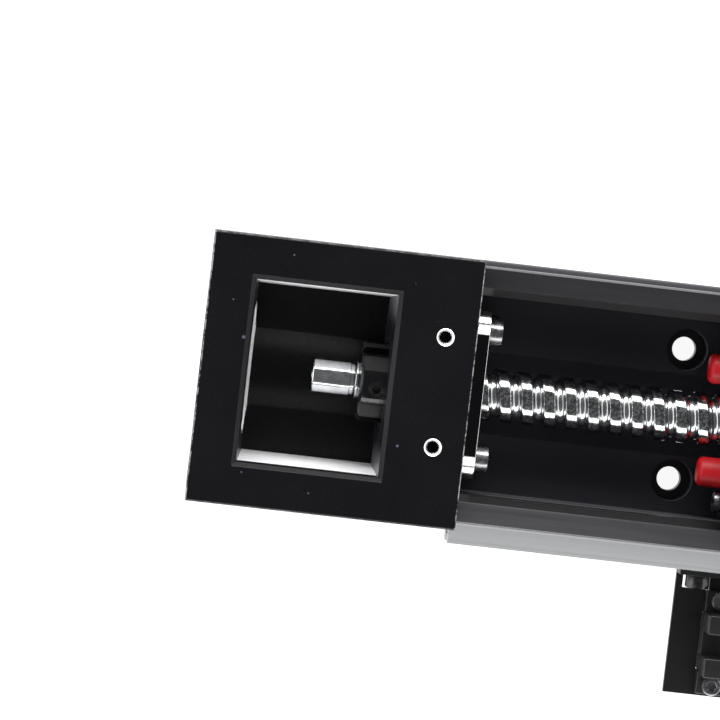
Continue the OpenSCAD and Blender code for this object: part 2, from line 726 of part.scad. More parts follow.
module nut_flange_room() intersection() {
  rod_x(nut_x - cut, nut_flange_t + cut, nut_flange_d + 2 * seat_gap);
  flange_slab(-cut, nut_ceiling + seat_gap);
}

module carriage_block() color("#c2c4c8") difference() {
  extrude_x(-block_end, block_l) difference() {
    carriage_section(0);
    raceway_circles(raceway_y, raceway_d);
    raceway_circles(return_y, raceway_d);
  }
  rod_x(-block_end - cut, nut_l + hole_gap + cut, nut_d);
  rod_x(-block_end - cut, block_l + 2 * cut, nut_d - 2 * nut_seat);
  nut_flange_room();
  for (a = nut_screw_angles) translate([-block_end, 0, axis_z]) rotate([a, 0, 0])
    translate([0, nut_screw_r, 0]) rotate([0, 90, 0])
      cylinder(d = m25, h = m25 + 2 * hole_gap + nut_screw_l + tip_gap);
  for (x = [-1, 1], y = [-1, 1])
    translate([x * table_hole_pitch / 2, y * table_hole_gauge / 2, housing_h - table_tap_depth])
      cylinder(d = table_tap_d, h = table_tap_depth + cut);
  for (x = [-block_end - cut, block_end - end_screw_grip - tip_gap])
    end_screw_holes(x) rotate([0, 90, 0]) cylinder(d = m25, h = end_screw_grip + tip_gap + cut);
  for (s = [-1, 1])
    facing_sensor([flag_x + s * flag_screw_pitch / 2,
      -carriage_w / 2 + flag_screw_grip + tip_gap, flag_screw_z])
      cylinder(d = m25, h = flag_screw_grip + tip_gap + cut);
}

// Round balls that fill one straight row
module ball_row(y, z) for (i = [0:guide_balls_in_row - 1])
  translate([(i - (guide_balls_in_row - 1) / 2) * guide_ball_pitch, y, z])
    sphere(d = guide_ball_d);

// Loaded and return rows, and the ball that turns round in each end plate
module guide_balls() color("#e4e5e8") for (s = [-1, 1], z = raceways) {
  ball_row(s * raceway_y, z);
  ball_row(s * return_y, z);
  for (e = [-1, 1])
    translate([e * (block_end + (raceway_y - return_y) / 2), s * (raceway_y + return_y) / 2, z])
      sphere(d = guide_ball_d);
}

// ---- Ball nut ----

// Oblong insert through the nut's wall, at one circuit
module deflector(k, inner_r, outer_r) {
  a = circuit_start + circuit_step * k;
  straight = deflector_l - deflector_w;
  translate([nut_path_x + lead * (a + 180) / 360, 0, axis_z]) rotate([a, 0, 0])
    translate([0, inner_r, 0]) rotate([-90, 0, 0]) linear_extrude(outer_r - inner_r) {
      square([straight, deflector_w], center = true);
      for (s = [-1, 1]) translate([s * straight / 2, 0]) circle(d = deflector_w);
    }
}

module ball_nut() color("#b4b6bb") difference() {
  union() {
    rod_x(nut_x, nut_l, nut_d);
    intersection() {
      rod_x(nut_x, nut_flange_t, nut_flange_d);
      flange_slab(block_bottom + shaft_gap, nut_ceiling);
    }
  }
  rod_x(nut_x - cut, nut_l + 2 * cut, nut_bore_d);
  translate([nut_path_x, 0, axis_z]) helical_groove(nut_groove_r, nut_turns, nut_steps, nut_sides);
  for (k = [0:circuits - 1]) deflector(k, screw_d / 4, nut_d / 2 + cut);
  for (a = nut_screw_angles) translate([nut_x, 0, axis_z]) rotate([a, 0, 0])
    translate([-cut, nut_screw_r, 0]) rotate([0, 90, 0]) {
      cylinder(d = m25 + 2 * hole_gap, h = nut_flange_t + 2 * cut);
      cylinder(d = head_d(m25) + 2 * hole_gap, h = cut + m25 + hole_gap);
    }
}

module nut_screws() color("#3a3a3e") for (a = nut_screw_angles)
  translate([nut_x + m25 + hole_gap, 0, axis_z]) rotate([a, 0, 0]) translate([0, nut_screw_r, 0])
    rotate([0, -90, 0]) socket_screw(m25, nut_screw_l);

module nut_balls() color("#e4e5e8") for (k = [0:circuits - 1], i = [0:balls_in_circuit - 1]) {
  step = (ball_arc[1] - ball_arc[0]) / (balls_in_circuit - 1);
  a = circuit_start + circuit_step * k + ball_arc[0] + i * step;
  translate([nut_path_x, 0, axis_z] + helix_point(a, lead * a / 360, path_r))
    sphere(d = nut_ball_d);
}

module nut_deflectors() color("#c8b070") for (k = [0:circuits - 1])
  deflector(k, screw_d / 2 + shaft_gap + ball_gap, nut_d / 2 - deflector_sink);

// ---- Ends of the carriage ----

// Groove that turns the balls from the loaded row to the return row
module turnarounds() for (s = [-1, 1], z = raceways)
  translate([block_end, s * (raceway_y + return_y) / 2, z]) rotate_extrude()
    translate([(raceway_y - return_y) / 2, 0]) circle(d = raceway_d);

module end_plate() difference() {
  extrude_x(block_end, end_plate_t) union() {
    carriage_section(seat_gap);
    translate([0, axis_z]) circle(d = axis_boss_d);
  }
  rod_x(block_end - cut, end_plate_t + 2 * cut, screw_d + 2 * tip_gap);
  turnarounds();
  end_screw_holes(block_end - cut) rotate([0, 90, 0])
    cylinder(d = m25 + 2 * hole_gap, h = end_plate_t + 2 * cut);
  for (s = [-1, 1]) translate([plate_end - end_plate_t / 2, s * bumper_y, bumper_z])
    rotate([0, 90, 0]) cylinder(d = m3, h = end_plate_t);
}

module wiper() difference() {
  extrude_x(plate_end, wiper_t) union() {
    chamfered(channel_w - 2 * lip_gap, rail_floor + lip_gap, rail_h - wall_chamfer, edge_chamfer);
    chamfered(carriage_w, rail_h / 2, housing_h - 2 * edge_chamfer, 2 * edge_chamfer);
    translate([0, axis_z]) circle(r = relief_r - lip_gap);
    raceway_circles(raceway_y, raceway_d - 2 * lip_gap);
  }
  rod_x(plate_end - cut, wiper_t + 2 * cut, screw_d + 2 * shaft_gap);
  end_screw_holes(plate_end - cut) rotate([0, 90, 0])
    cylinder(d = m25 + 2 * hole_gap, h = wiper_t + 2 * cut);
  for (s = [-1, 1]) translate([plate_end - cut, s * bumper_y, bumper_z])
    rotate([0, 90, 0]) cylinder(d = bumper_d, h = wiper_t + 2 * cut);
}

// Hole of the grease nipple through the far wiper and into the far end plate
module nipple_hole() translate([plate_end - end_plate_t / 2, 0, nipple_z])
  rotate([0, 90, 0]) cylinder(d = m4, h = end_plate_t);

module near_end_plate() color("#222225") mirror([1, 0, 0]) end_plate();
module far_end_plate() color("#222225") difference() {
  end_plate();
  nipple_hole();
}
module near_wiper() color("#141416") mirror([1, 0, 0]) wiper();
module far_wiper() color("#141416") difference() {
  wiper();
  nipple_hole();
}

module end_plate_screws() color("#5a5a5e") for (m = [0, 1]) mirror([m, 0, 0])
  end_screw_holes(wiper_end) rotate([0, 90, 0])
    socket_screw(m25, wiper_t + end_plate_t + end_screw_grip);

module bumpers() color("#b3202c") for (m = [0, 1], s = [-1, 1]) mirror([m, 0, 0])
  translate([plate_end, s * bumper_y, bumper_z]) rotate([0, 90, 0]) {
    c = bumper_chamfer;
    l = wiper_t + bumper_l;
    translate([0, 0, -end_plate_t / 2]) cylinder(d = m3, h = end_plate_t / 2);
    cylinder(d = bumper_d, h = l - c);
    translate([0, 0, l - c]) cylinder(d1 = bumper_d, d2 = bumper_d - 2 * c, h = c);
  }

module grease_nipple() color("#c9a94e") translate([plate_end - end_plate_t / 2, 0, nipple_z])
  rotate([0, 90, 0]) {
    seat = end_plate_t / 2 + wiper_t;
    cylinder(d = m4, h = seat);
    translate([0, 0, seat]) cylinder(d = nipple_hex_d, h = nipple_hex_l, $fn = 6);
    translate([0, 0, seat + nipple_hex_l])
      cylinder(d1 = m4, d2 = nipple_neck_d, h = nipple_neck_l);
    translate([0, 0, seat + nipple_hex_l + nipple_neck_l])
      cylinder(d = nipple_head_d, h = nipple_head_d / 2);
  }

// ---- Sensor flag ----

module sensor_flag() color("#8d9096") difference() {
  union() {
    translate([flag_x - flag_plate_l / 2, -carriage_w / 2 - sheet_t, flag_z])
      cube([flag_plate_l, sheet_t, flag_top - flag_z]);
    translate([flag_x - flag_arm_w / 2, -sensor_y - sheet_t / 2, flag_z])
      cube([flag_arm_w, sensor_y + sheet_t / 2 - carriage_w / 2, sheet_t]);
    translate([flag_x - blade_l / 2, -sensor_y - sheet_t / 2, blade_foot])
      cube([blade_l, sheet_t, flag_z + sheet_t - blade_foot]);
  }
  for (s = [-1, 1])
    facing_sensor([flag_x + s * flag_screw_pitch / 2, -carriage_w / 2 + cut, flag_screw_z])
      cylinder(d = m25 + 2 * hole_gap, h = sheet_t + 2 * cut);
}

module flag_screws() color("#5a5a5e") for (s = [-1, 1])
  facing_sensor([flag_x + s * flag_screw_pitch / 2, -carriage_w / 2 - sheet_t, flag_screw_z])
    socket_screw(m25, sheet_t + flag_screw_grip);

// ---- Sensor rail ----

module sensor_rail() color("#bcbec2") difference() {
  extrude_x(x0, rail_l) difference() {
    translate([rail_face, sensor_rail_foot])
      square([sensor_rail_t, sensor_rail_top - sensor_rail_foot]);
    translate([rail_face + slot_lip, slot_z - slot_cavity_w / 2])
      square([sensor_rail_t - slot_lip - slot_web, slot_cavity_w]);
    translate([rail_face - cut, slot_z - slot_w / 2]) square([slot_lip + 2 * cut, slot_w]);
  }
  for (i = [-1:1]) {
    facing_sensor([i * sensor_rail_pitch, rail_side + cut, slot_z])
      cylinder(d = m3 + 2 * hole_gap, h = sensor_rail_t);
    facing_sensor([i * sensor_rail_pitch, rail_side, slot_z])
      cylinder(d1 = csk_d - 2 * slot_web + 2 * hole_gap, d2 = csk_d + 2 * hole_gap, h = slot_web);
    facing_sensor([i * sensor_rail_pitch, rail_side - slot_web, slot_z])
      cylinder(d = csk_d + 2 * hole_gap, h = sensor_rail_t);
  }
}

// Countersunk screws, flush with the floor of the slot
module sensor_rail_screws() color("#8d9096") for (i = [-1:1])
  facing_sensor([i * sensor_rail_pitch, rail_side + sensor_rail_grip, slot_z]) difference() {
    union() {
      cylinder(d = m3, h = sensor_rail_grip + slot_web / 2);
      translate([0, 0, sensor_rail_grip])
        cylinder(d1 = csk_d - 2 * slot_web, d2 = csk_d, h = slot_web);
    }
    translate([0, 0, sensor_rail_grip]) cylinder(d = hex_d(m3) / cap_shrink, h = m3, $fn = 6);
  }

// ---- Limit sensors ----

// Places one sensor's pieces, which are drawn round their own middle
module near_station() translate([near_sensor_x, 0, 0]) children();
module far_station() translate([far_sensor_x, 0, 0]) mirror([1, 0, 0]) children();

// Bent sheet: a flange on the sensor rail and a plate under the sensor
module sensor_bracket() color("#2b2b2e") difference() {
  union() {
    translate([bracket_from, flange_face, bracket_z])
      cube([bracket_to - bracket_from, sheet_t, slot_z + bracket_rise - bracket_z]);
    translate([bracket_from, -bracket_end, bracket_z])
      cube([bracket_to - bracket_from, bracket_end + flange_face + sheet_t, sheet_t]);
  }
  // Notch round the clamp screw's head
  notch_w = head_d(m3) + 2 * lip_gap;
  translate([clamp_x - notch_w / 2, flange_face - m3 - lip_gap, bracket_z - cut])
    cube([notch_w, m3 + lip_gap, sheet_t + 2 * cut]);
  facing_sensor([clamp_x, flange_face + sheet_t + cut, slot_z])
    cylinder(d = m3 + 2 * hole_gap, h = sheet_t + 2 * cut);
  // Opening for the sensor's terminals and the holes of its screws
  translate([-sensor_w / 2 - hole_gap, -sensor_y - terminal_l / 2 - hole_gap, bracket_z - cut])
    cube([sensor_w + 2 * hole_gap, terminal_l + 2 * hole_gap, sheet_t + 2 * cut]);
  for (s = [-1, 1]) translate([0, -sensor_y + s * sensor_hole_gauge / 2, bracket_z - cut])
    cylinder(d = m3 + 2 * hole_gap, h = sheet_t + 2 * cut);
}

// Slotted sensor: two ears, two arms and a terminal block with four pins
module limit_sensor() color("#121214") {
  difference() {
    translate([-sensor_w / 2, -sensor_y - sensor_l / 2, bracket_top])
      cube([sensor_w, sensor_l, sensor_ear_t]);
    for (s = [-1, 1]) translate([0, -sensor_y + s * sensor_hole_gauge / 2, bracket_top - cut])
      cylinder(d = m3 + 2 * hole_gap, h = sensor_ear_t + 2 * cut);
  }
  for (s = [-1, 1])
    translate([-sensor_w / 2, -sensor_y + s * (sensor_gap + sensor_arm_t) / 2 - sensor_arm_t / 2,
      bracket_top + sensor_ear_t]) cube([sensor_w, sensor_arm_t, sensor_arm_h]);
  translate([-sensor_w / 2, -sensor_y - terminal_l / 2, bracket_z - sheet_t])
    cube([sensor_w, terminal_l, 2 * sheet_t]);
  for (i = [-1.5:1.5]) translate([-pin_w / 2, -sensor_y + i * pin_gap - pin_w / 2,
    bracket_z - sheet_t - pin_l]) cube([pin_w, pin_w, pin_l]);
}

module sensor_screws() color("#5a5a5e") for (s = [-1, 1])
  translate([0, -sensor_y + s * sensor_hole_gauge / 2, bracket_top + sensor_ear_t])
    difference() {
      union() {
        cylinder(d = low_head_d, h = low_head_t);
        translate([0, 0, -sensor_ear_t - sheet_t - sensor_screw_tail])
          cylinder(d = m3, h = sensor_ear_t + sheet_t + sensor_screw_tail);
      }
      translate([0, 0, low_head_t / 2])
        cylinder(d = hex_d(m3) / cap_shrink, h = low_head_t, $fn = 6);
    }

module sensor_nuts() color("#8d9096") for (s = [-1, 1])
  translate([0, -sensor_y + s * sensor_hole_gauge / 2, bracket_z]) hex_nut(m3, sensor_nut_t);

module clamp_screw() color("#4a4a4e") facing_sensor([clamp_x, flange_face, slot_z])
  socket_screw(m3, sheet_t + seat_gap + slot_lip + slot_nut_grip);

// Square nut inside the sensor rail's slot
module slot_nut() color("#9a9ca1") difference() {
  h = slot_cavity_w - 2 * lip_gap;
  translate([clamp_x - slot_nut_l / 2, rail_face + slot_lip + hole_gap, slot_z - h / 2])
    cube([slot_nut_l, sensor_rail_t - slot_lip - slot_web - 4 * hole_gap, h]);
  facing_sensor([clamp_x, rail_side, slot_z]) cylinder(d = m3, h = sensor_rail_t + cut);
}

module near_sensor_bracket() near_station() sensor_bracket();
module near_limit_sensor() near_station() limit_sensor();
module near_sensor_screws() near_station() sensor_screws();
module near_sensor_nuts() near_station() sensor_nuts();
module near_clamp_screw() near_station() clamp_screw();
module near_slot_nut() near_station() slot_nut();
module far_sensor_bracket() far_station() sensor_bracket();
module far_limit_sensor() far_station() limit_sensor();
module far_sensor_screws() far_station() sensor_screws();
module far_sensor_nuts() far_station() sensor_nuts();
module far_clamp_screw() far_station() clamp_screw();
module far_slot_nut() far_station() slot_nut();

base_rail();
motor_housing();
housing_screws();
bearing_retainer_plate();
retainer_screws();
front_bearing_outer_rings();
front_bearing_inner_rings();
front_bearing_balls();
front_bearing_cages();
screw_seal();
bearing_spacer();
lock_nut();
lock_nut_set_screws();
ball_screw();
end_housing();
end_housing_screws();
end_bearing_outer_ring();
end_bearing_inner_ring();
end_bearing_balls();
end_circlip();
carriage_block();
ball_nut();
nut_balls();
nut_deflectors();
nut_screws();
guide_balls();
near_end_plate();
far_end_plate();
near_wiper();
far_wiper();
end_plate_screws();
bumpers();
grease_nipple();
sensor_flag();
flag_screws();
sensor_rail();
sensor_rail_screws();
near_sensor_bracket();
near_limit_sensor();
near_sensor_screws();
near_sensor_nuts();
near_clamp_screw();
near_slot_nut();
far_sensor_bracket();
far_limit_sensor();
far_sensor_screws();
far_sensor_nuts();
far_clamp_screw();
far_slot_nut();
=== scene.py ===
"""Looks of a ball screw linear module, built round its CAD frame.

Laid out as an add-on: sizes and colours are properties, each group of pieces is an operator, and
main() runs them in order. All places are in metres in the module's own frame: X runs from the
motor end to the far end, Z is up, and the origin is the middle of the guide rail's bottom face.
"""

import json
import math

import bmesh
import bpy
from bpy.props import FloatProperty, FloatVectorProperty, IntProperty, PointerProperty
from mathutils import Euler, Matrix, Vector


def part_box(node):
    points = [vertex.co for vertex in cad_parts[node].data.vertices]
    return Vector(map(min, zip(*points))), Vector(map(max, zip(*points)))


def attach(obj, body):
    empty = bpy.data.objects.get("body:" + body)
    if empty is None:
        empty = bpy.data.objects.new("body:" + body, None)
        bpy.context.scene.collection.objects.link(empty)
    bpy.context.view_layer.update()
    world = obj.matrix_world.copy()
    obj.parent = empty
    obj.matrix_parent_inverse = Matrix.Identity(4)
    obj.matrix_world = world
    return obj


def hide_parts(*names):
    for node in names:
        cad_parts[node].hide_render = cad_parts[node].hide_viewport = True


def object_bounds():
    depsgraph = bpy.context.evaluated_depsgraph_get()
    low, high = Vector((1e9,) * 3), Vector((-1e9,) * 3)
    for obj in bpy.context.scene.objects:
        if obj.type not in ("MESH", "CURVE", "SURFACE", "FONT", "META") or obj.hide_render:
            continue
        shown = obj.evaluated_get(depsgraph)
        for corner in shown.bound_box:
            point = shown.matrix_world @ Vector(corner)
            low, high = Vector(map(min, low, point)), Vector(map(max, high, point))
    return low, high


bl_info = {
    "name": "Ball Screw Linear Module",
    "version": (1, 0, 0),
    "blender": (4, 5, 0),
    "location": "View3D > Sidebar > Module",
    "description": "Dresses the CAD frame of a ball screw linear module with pieces and finishes",
    "category": "Object",
}

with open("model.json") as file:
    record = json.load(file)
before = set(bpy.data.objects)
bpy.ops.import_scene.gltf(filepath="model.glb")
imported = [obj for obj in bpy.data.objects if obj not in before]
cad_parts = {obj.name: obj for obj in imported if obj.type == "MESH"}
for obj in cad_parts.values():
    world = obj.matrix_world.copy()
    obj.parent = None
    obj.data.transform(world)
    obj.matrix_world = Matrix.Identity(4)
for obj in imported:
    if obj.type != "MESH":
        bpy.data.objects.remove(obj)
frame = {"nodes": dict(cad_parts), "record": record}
CAD_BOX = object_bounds()
MM = 0.001
AXIS_Z = sum(corner.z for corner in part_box("lock_nut")) / 2
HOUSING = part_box("motor_housing")
COVER_X, COVER_Y = HOUSING[1].x - 7 * MM, 12.25 * MM
WINDOW_X, WINDOW_Y, WINDOW_Z = (-151.5 * MM, -116.5 * MM), 21.5 * MM, (4.65 * MM, 32.02 * MM)
EDGE_BAND = 0.22 * MM
FLOOR_TOP = 10.5 * MM
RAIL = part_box("base_rail")
CAMERA_PLACE = (-164.48 * MM, 34.81 * MM, 821.0 * MM)
# Degrees round X, Y and Z, from looking straight down
CAMERA_TURN = (-2.4693, -2.5846, 6.632)


# ---- Sizes and colours ----


def length(name, description, default, low=0.0, high=1.0):
    return FloatProperty(name=name, description=description, default=default, min=low, max=high,
                         subtype="DISTANCE", unit="LENGTH", precision=5)


def colour(name, description, default):
    return FloatVectorProperty(name=name, description=description, default=default, size=3,
                               min=0.0, max=1.0, subtype="COLOR")


class ModuleSizes(bpy.types.PropertyGroup):
    """Sizes that the dressed pieces use"""

    lead: length("Lead", "Travel of the nut for one turn of the screw", 5 * MM)
    land_radius: length("Land Radius", "Radius of the screw over its lands", 6 * MM)
    ball_path_radius: length("Ball Path Radius", "Radius of the balls' centres", 6.15 * MM)
    groove_radius: length("Groove Radius", "Radius of the ball groove's section", 1.2 * MM)
    land_edge: length("Land Edge", "Rounding where a land meets the groove", 0.12 * MM)
    screw_steps: IntProperty(name="Screw Steps", description="Steps in one turn of the screw",
                             default=44, min=12, max=96)
    # Each is an upper limit on dressed CAD pieces: see softened()
    edge: length("Edge Rounding", "Most rounding on machined pieces", 0.22 * MM)
    plate_edge: length("Sheet Edge Rounding", "Most rounding on sheet pieces", 0.15 * MM)
    moulded_edge: length("Moulded Edge Rounding", "Most rounding on moulded pieces", 0.3 * MM)
    knurl: length("Knurl Depth", "Depth of the knurling round a screw's head", 0.09 * MM)
    bumper_nose: length("Bumper Nose", "Rounding of a bumper's nose", 1.3 * MM)
    floor: length("Floor", "Width of the floor that the module stands on", 6.0, 0.5, 50.0)
    lens: FloatProperty(name="Lens", description="Focal length of the camera in millimetres",
                        default=179.28, min=20.0, max=400.0)


class ModuleColours(bpy.types.PropertyGroup):
    """Colours of the finishes, as linear values"""

    housing: colour("Housing", "Black plating of the two housings", (0.0036, 0.0034, 0.0046))
    rail: colour("Rail", "Black plating of the guide rail", (0.0088, 0.0085, 0.0108))
    bare: colour("Bare Wall", "Machined walls of the coupling window", (0.95, 0.95, 0.96))
    steel: colour("Steel", "Ground and polished steel", (0.74, 0.75, 0.77))
    carriage: colour("Carriage", "Ground steel of the carriage block", (0.5, 0.51, 0.53))
    nickel: colour("Nickel", "Nickel plating of the retainer plate", (0.74, 0.73, 0.71))
    oxide: colour("Black Oxide", "Black oxide of the lock nut", (0.004, 0.004, 0.005))
    fastener: colour("Fasteners", "Oiled alloy steel of the screws", (0.24, 0.24, 0.25))
    aluminium: colour("Aluminium", "Anodised sensor rail", (0.68, 0.69, 0.7))
    zinc: colour("Zinc", "Zinc plated sheet and nuts", (0.55, 0.57, 0.6))
    brass: colour("Brass", "Grease nipple, cages and deflectors", (0.62, 0.42, 0.15))
    red: colour("Red", "Polyurethane bumpers", (0.45, 0.008, 0.014))
    nylon: colour("Nylon", "End plates of the carriage", (0.02, 0.02, 0.022))
    rubber: colour("Rubber", "Wipers and the screw's seal", (0.014, 0.014, 0.015))
    sensor: colour("Sensor", "Moulded sensor bodies", (0.005, 0.005, 0.006))
    coat: colour("Powder Coat", "Coated sensor brackets", (0.0045, 0.0045, 0.005))


# ---- Node trees as Python expressions ----


class Wire:
    """An output socket that takes part in sums. Each sum adds its Math node to the tree."""

    def __init__(self, board, socket):
        self.board, self.socket = board, socket

    def __add__(self, other):
        return self.board.maths("ADD", self, other)

    def __sub__(self, other):
        return self.board.maths("SUBTRACT", self, other)

    def __rsub__(self, other):
        return self.board.maths("SUBTRACT", other, self)

    def __mul__(self, other):
        return self.board.maths("MULTIPLY", self, other)

    def __truediv__(self, other):
        return self.board.maths("DIVIDE", self, other)

    def __rtruediv__(self, other):
        return self.board.maths("DIVIDE", other, self)

    def __pow__(self, other):
        return self.board.maths("POWER", self, other)

    def __gt__(self, other):
        return self.board.maths("GREATER_THAN", self, other)

    def __lt__(self, other):
        return self.board.maths("LESS_THAN", self, other)

    def __abs__(self):
        return self.board.maths("ABSOLUTE", self)

    __radd__ = __add__
    __rmul__ = __mul__


class Board:
    """Builds the nodes of one tree."""

    def __init__(self, tree):
        self.tree = tree

    def node(self, kind, settings=None, sockets=None):
        """Adds a node: its settings first, then a value or a wire for each socket."""
        made = self.tree.nodes.new(kind)
        for key, value in (settings or {}).items():
            setattr(made, key, value)
        for key, value in (sockets or {}).items():
            if isinstance(value, Wire):
                self.tree.links.new(value.socket, made.inputs[key])
            else:
                made.inputs[key].default_value = value
        return made

    def wire(self, kind, settings=None, sockets=None, output=0):
        return Wire(self, self.node(kind, settings, sockets).outputs[output])

    def maths(self, operation, *values, clamp=False):
        return self.wire("ShaderNodeMath", {"operation": operation, "use_clamp": clamp},
                         dict(enumerate(values)))

    def ramp(self, value, low, high, to_low=0.0, to_high=1.0):
        """Runs smoothly from to_low to to_high as value goes from low to high."""
        return self.wire("ShaderNodeMapRange", {"interpolation_type": "SMOOTHSTEP"}, {
            "Value": value, "From Min": low, "From Max": high, "To Min": to_low, "To Max": to_high})

    def between(self, value, low, high):
        return (value > low) * (value < high)


class Finish(Board):
    """One material: its place and facing, its patterns, and its surface."""

    def __init__(self, name):
        self.material = bpy.data.materials.new(name)
        self.material.use_nodes = True
        super().__init__(self.material.node_tree)
        self.tree.nodes.clear()
        self.coords = self.node("ShaderNodeTexCoord")
        self.place = Wire(self, self.coords.outputs["Object"])

    def axes(self, output="Object"):
        split = self.node("ShaderNodeSeparateXYZ", {}, {
            0: Wire(self, self.coords.outputs[output])})
        return [Wire(self, s) for s in split.outputs]

    def stretched(self, scale):
        return self.wire("ShaderNodeMapping", {}, {"Vector": self.place, "Scale": scale})

    def noise(self, scale, detail=3.0, roughness=0.55, stretch=None):
        return self.wire("ShaderNodeTexNoise", {}, {
            "Vector": self.stretched(stretch) if stretch else self.place,
            "Scale": scale, "Detail": detail, "Roughness": roughness})

    def specks(self, scale, size, share):
        """Round specks: 1 inside about that share of the cells."""
        cells = self.node("ShaderNodeTexVoronoi", {}, {"Vector": self.place, "Scale": scale})
        chance = self.wire("ShaderNodeSeparateColor", {}, {0: Wire(self, cells.outputs["Color"])})
        return (Wire(self, cells.outputs["Distance"]) < size * chance / share) * (chance < share)

    def mix(self, factor, a, b):
        """Colour a where factor is 0 and b where it is 1."""
        return self.wire("ShaderNodeMix", {"data_type": "RGBA"}, {
            "Factor": factor, 6: self.paint(a), 7: self.paint(b)}, output=2)

    def shade(self, colour_in, amount):
        """The colour made darker or lighter by a varying amount round 1."""
        return self.wire("ShaderNodeMix", {"data_type": "RGBA", "blend_type": "MULTIPLY"}, {
            "Factor": 1.0, 6: self.paint(colour_in),
            7: self.wire("ShaderNodeCombineColor", {}, {0: amount, 1: amount, 2: amount})},
            output=2)

    @staticmethod
    def paint(value):
        return value if isinstance(value, Wire) else (*value, 1.0)

    def bump(self, height, depth, strength=1.0, normal=None):
        sockets = {"Height": height, "Distance": depth, "Strength": strength}
        if normal:
            sockets["Normal"] = normal
        return self.wire("ShaderNodeBump", {}, sockets)

    def surface(self, base, roughness, metallic=0.0, normal=None, **others):
        sockets = {"Base Color": self.paint(base), "Roughness": roughness, "Metallic": metallic}
        if normal:
            sockets["Normal"] = normal
        sockets.update({key.replace("_", " "): value for key, value in others.items()})
        shader = self.wire("ShaderNodeBsdfPrincipled", {}, sockets)
        self.node("ShaderNodeOutputMaterial", {}, {"Surface": shader})
        return self.material


# ---- Finishes ----


def housing_plating(c):
    """Black plating with fine milling, dust, and bright machined walls in the coupling window."""
    f = Finish("housing_black_plating")
    x, y, z = f.axes()
    nx, ny, nz = f.axes("Normal")
    grain = f.noise(2600.0, 4.0, 0.65)
    cloud = f.noise(45.0, 3.0)
    milling = f.noise(300.0, 4.0, 0.6, stretch=(0.05, 6.0, 1.0))
    dust = f.specks(330.0, 0.14, 0.1) * (nz > 0.9)
    window = f.between(x, *WINDOW_X) * (abs(y) < WINDOW_Y) * f.between(z, *WINDOW_Z)
    # Painted shade: one wall is dark near its top
    shade = 1.0 - (ny > 0.9) * (z > 28.5 * MM)
    side = window * (abs(ny) > 0.9) * shade
    scratch = f.noise(900.0, 5.0, 0.7, stretch=(0.25, 1.0, 0.05))
    up = z - AXIS_Z
    bore = f.between(x, -148.98 * MM, -148.3 * MM) * f.between(
        (y * y + up * up) ** 0.5, 13.5 * MM, 14.9 * MM)
    bearing_wall = window * (nx < -0.9)
    across = y - COVER_Y * f.maths("SIGN", y)
    beyond = x - COVER_X
    cover = (((across * across + beyond * beyond) ** 0.5 < 2.1 * MM) * (z > 32.2 * MM)
             * (nz < 0.97))
    bright = f.maths("MAXIMUM", side, bore)
    # Painted light: the inside of the window is lighter
    round_wall = window * (z < 26 * MM) * (1.0 + (nz < 0.985) * 2.2) * 0.8
    plating = f.shade(c.housing, f.ramp(cloud, 0.25, 0.75, 0.75, 1.25) + round_wall + dust * 22.0)
    # Painted light: the window's bearing wall is lighter towards its sides
    tinted = f.mix(bearing_wall * f.ramp(abs(y), 13 * MM, 19.5 * MM), plating,
                   (0.17, 0.17, 0.18))
    # Painted light: a pale line along the top's outer edges
    sides = f.maths("MAXIMUM", abs(y) > HOUSING[1].y - EDGE_BAND, f.maths(
        "MAXIMUM", x < HOUSING[0].x + EDGE_BAND,
        f.between(x, HOUSING[1].x - EDGE_BAND, HOUSING[1].x + MM)))
    rim = (z > 32.75 * MM) * sides * f.ramp(f.noise(500.0, 4.0, 0.7), 0.4, 0.6, 0.0, 1.0)
    base = f.mix(f.maths("MAXIMUM", bright, cover), f.mix(rim, tinted, (0.3, 0.3, 0.32)), c.bare)
    rough = f.ramp(grain, 0.2, 0.8, 0.24, 0.42) + bright * f.ramp(scratch, 0.3, 0.7, 0.02, 0.2)
    relief = f.bump(grain * 0.5 + milling * 0.5 + scratch * bright * 0.5, 0.004 * MM, 0.4)
    return f.surface(base, rough - cover * 0.05, cover, relief, Specular_IOR_Level=0.25)


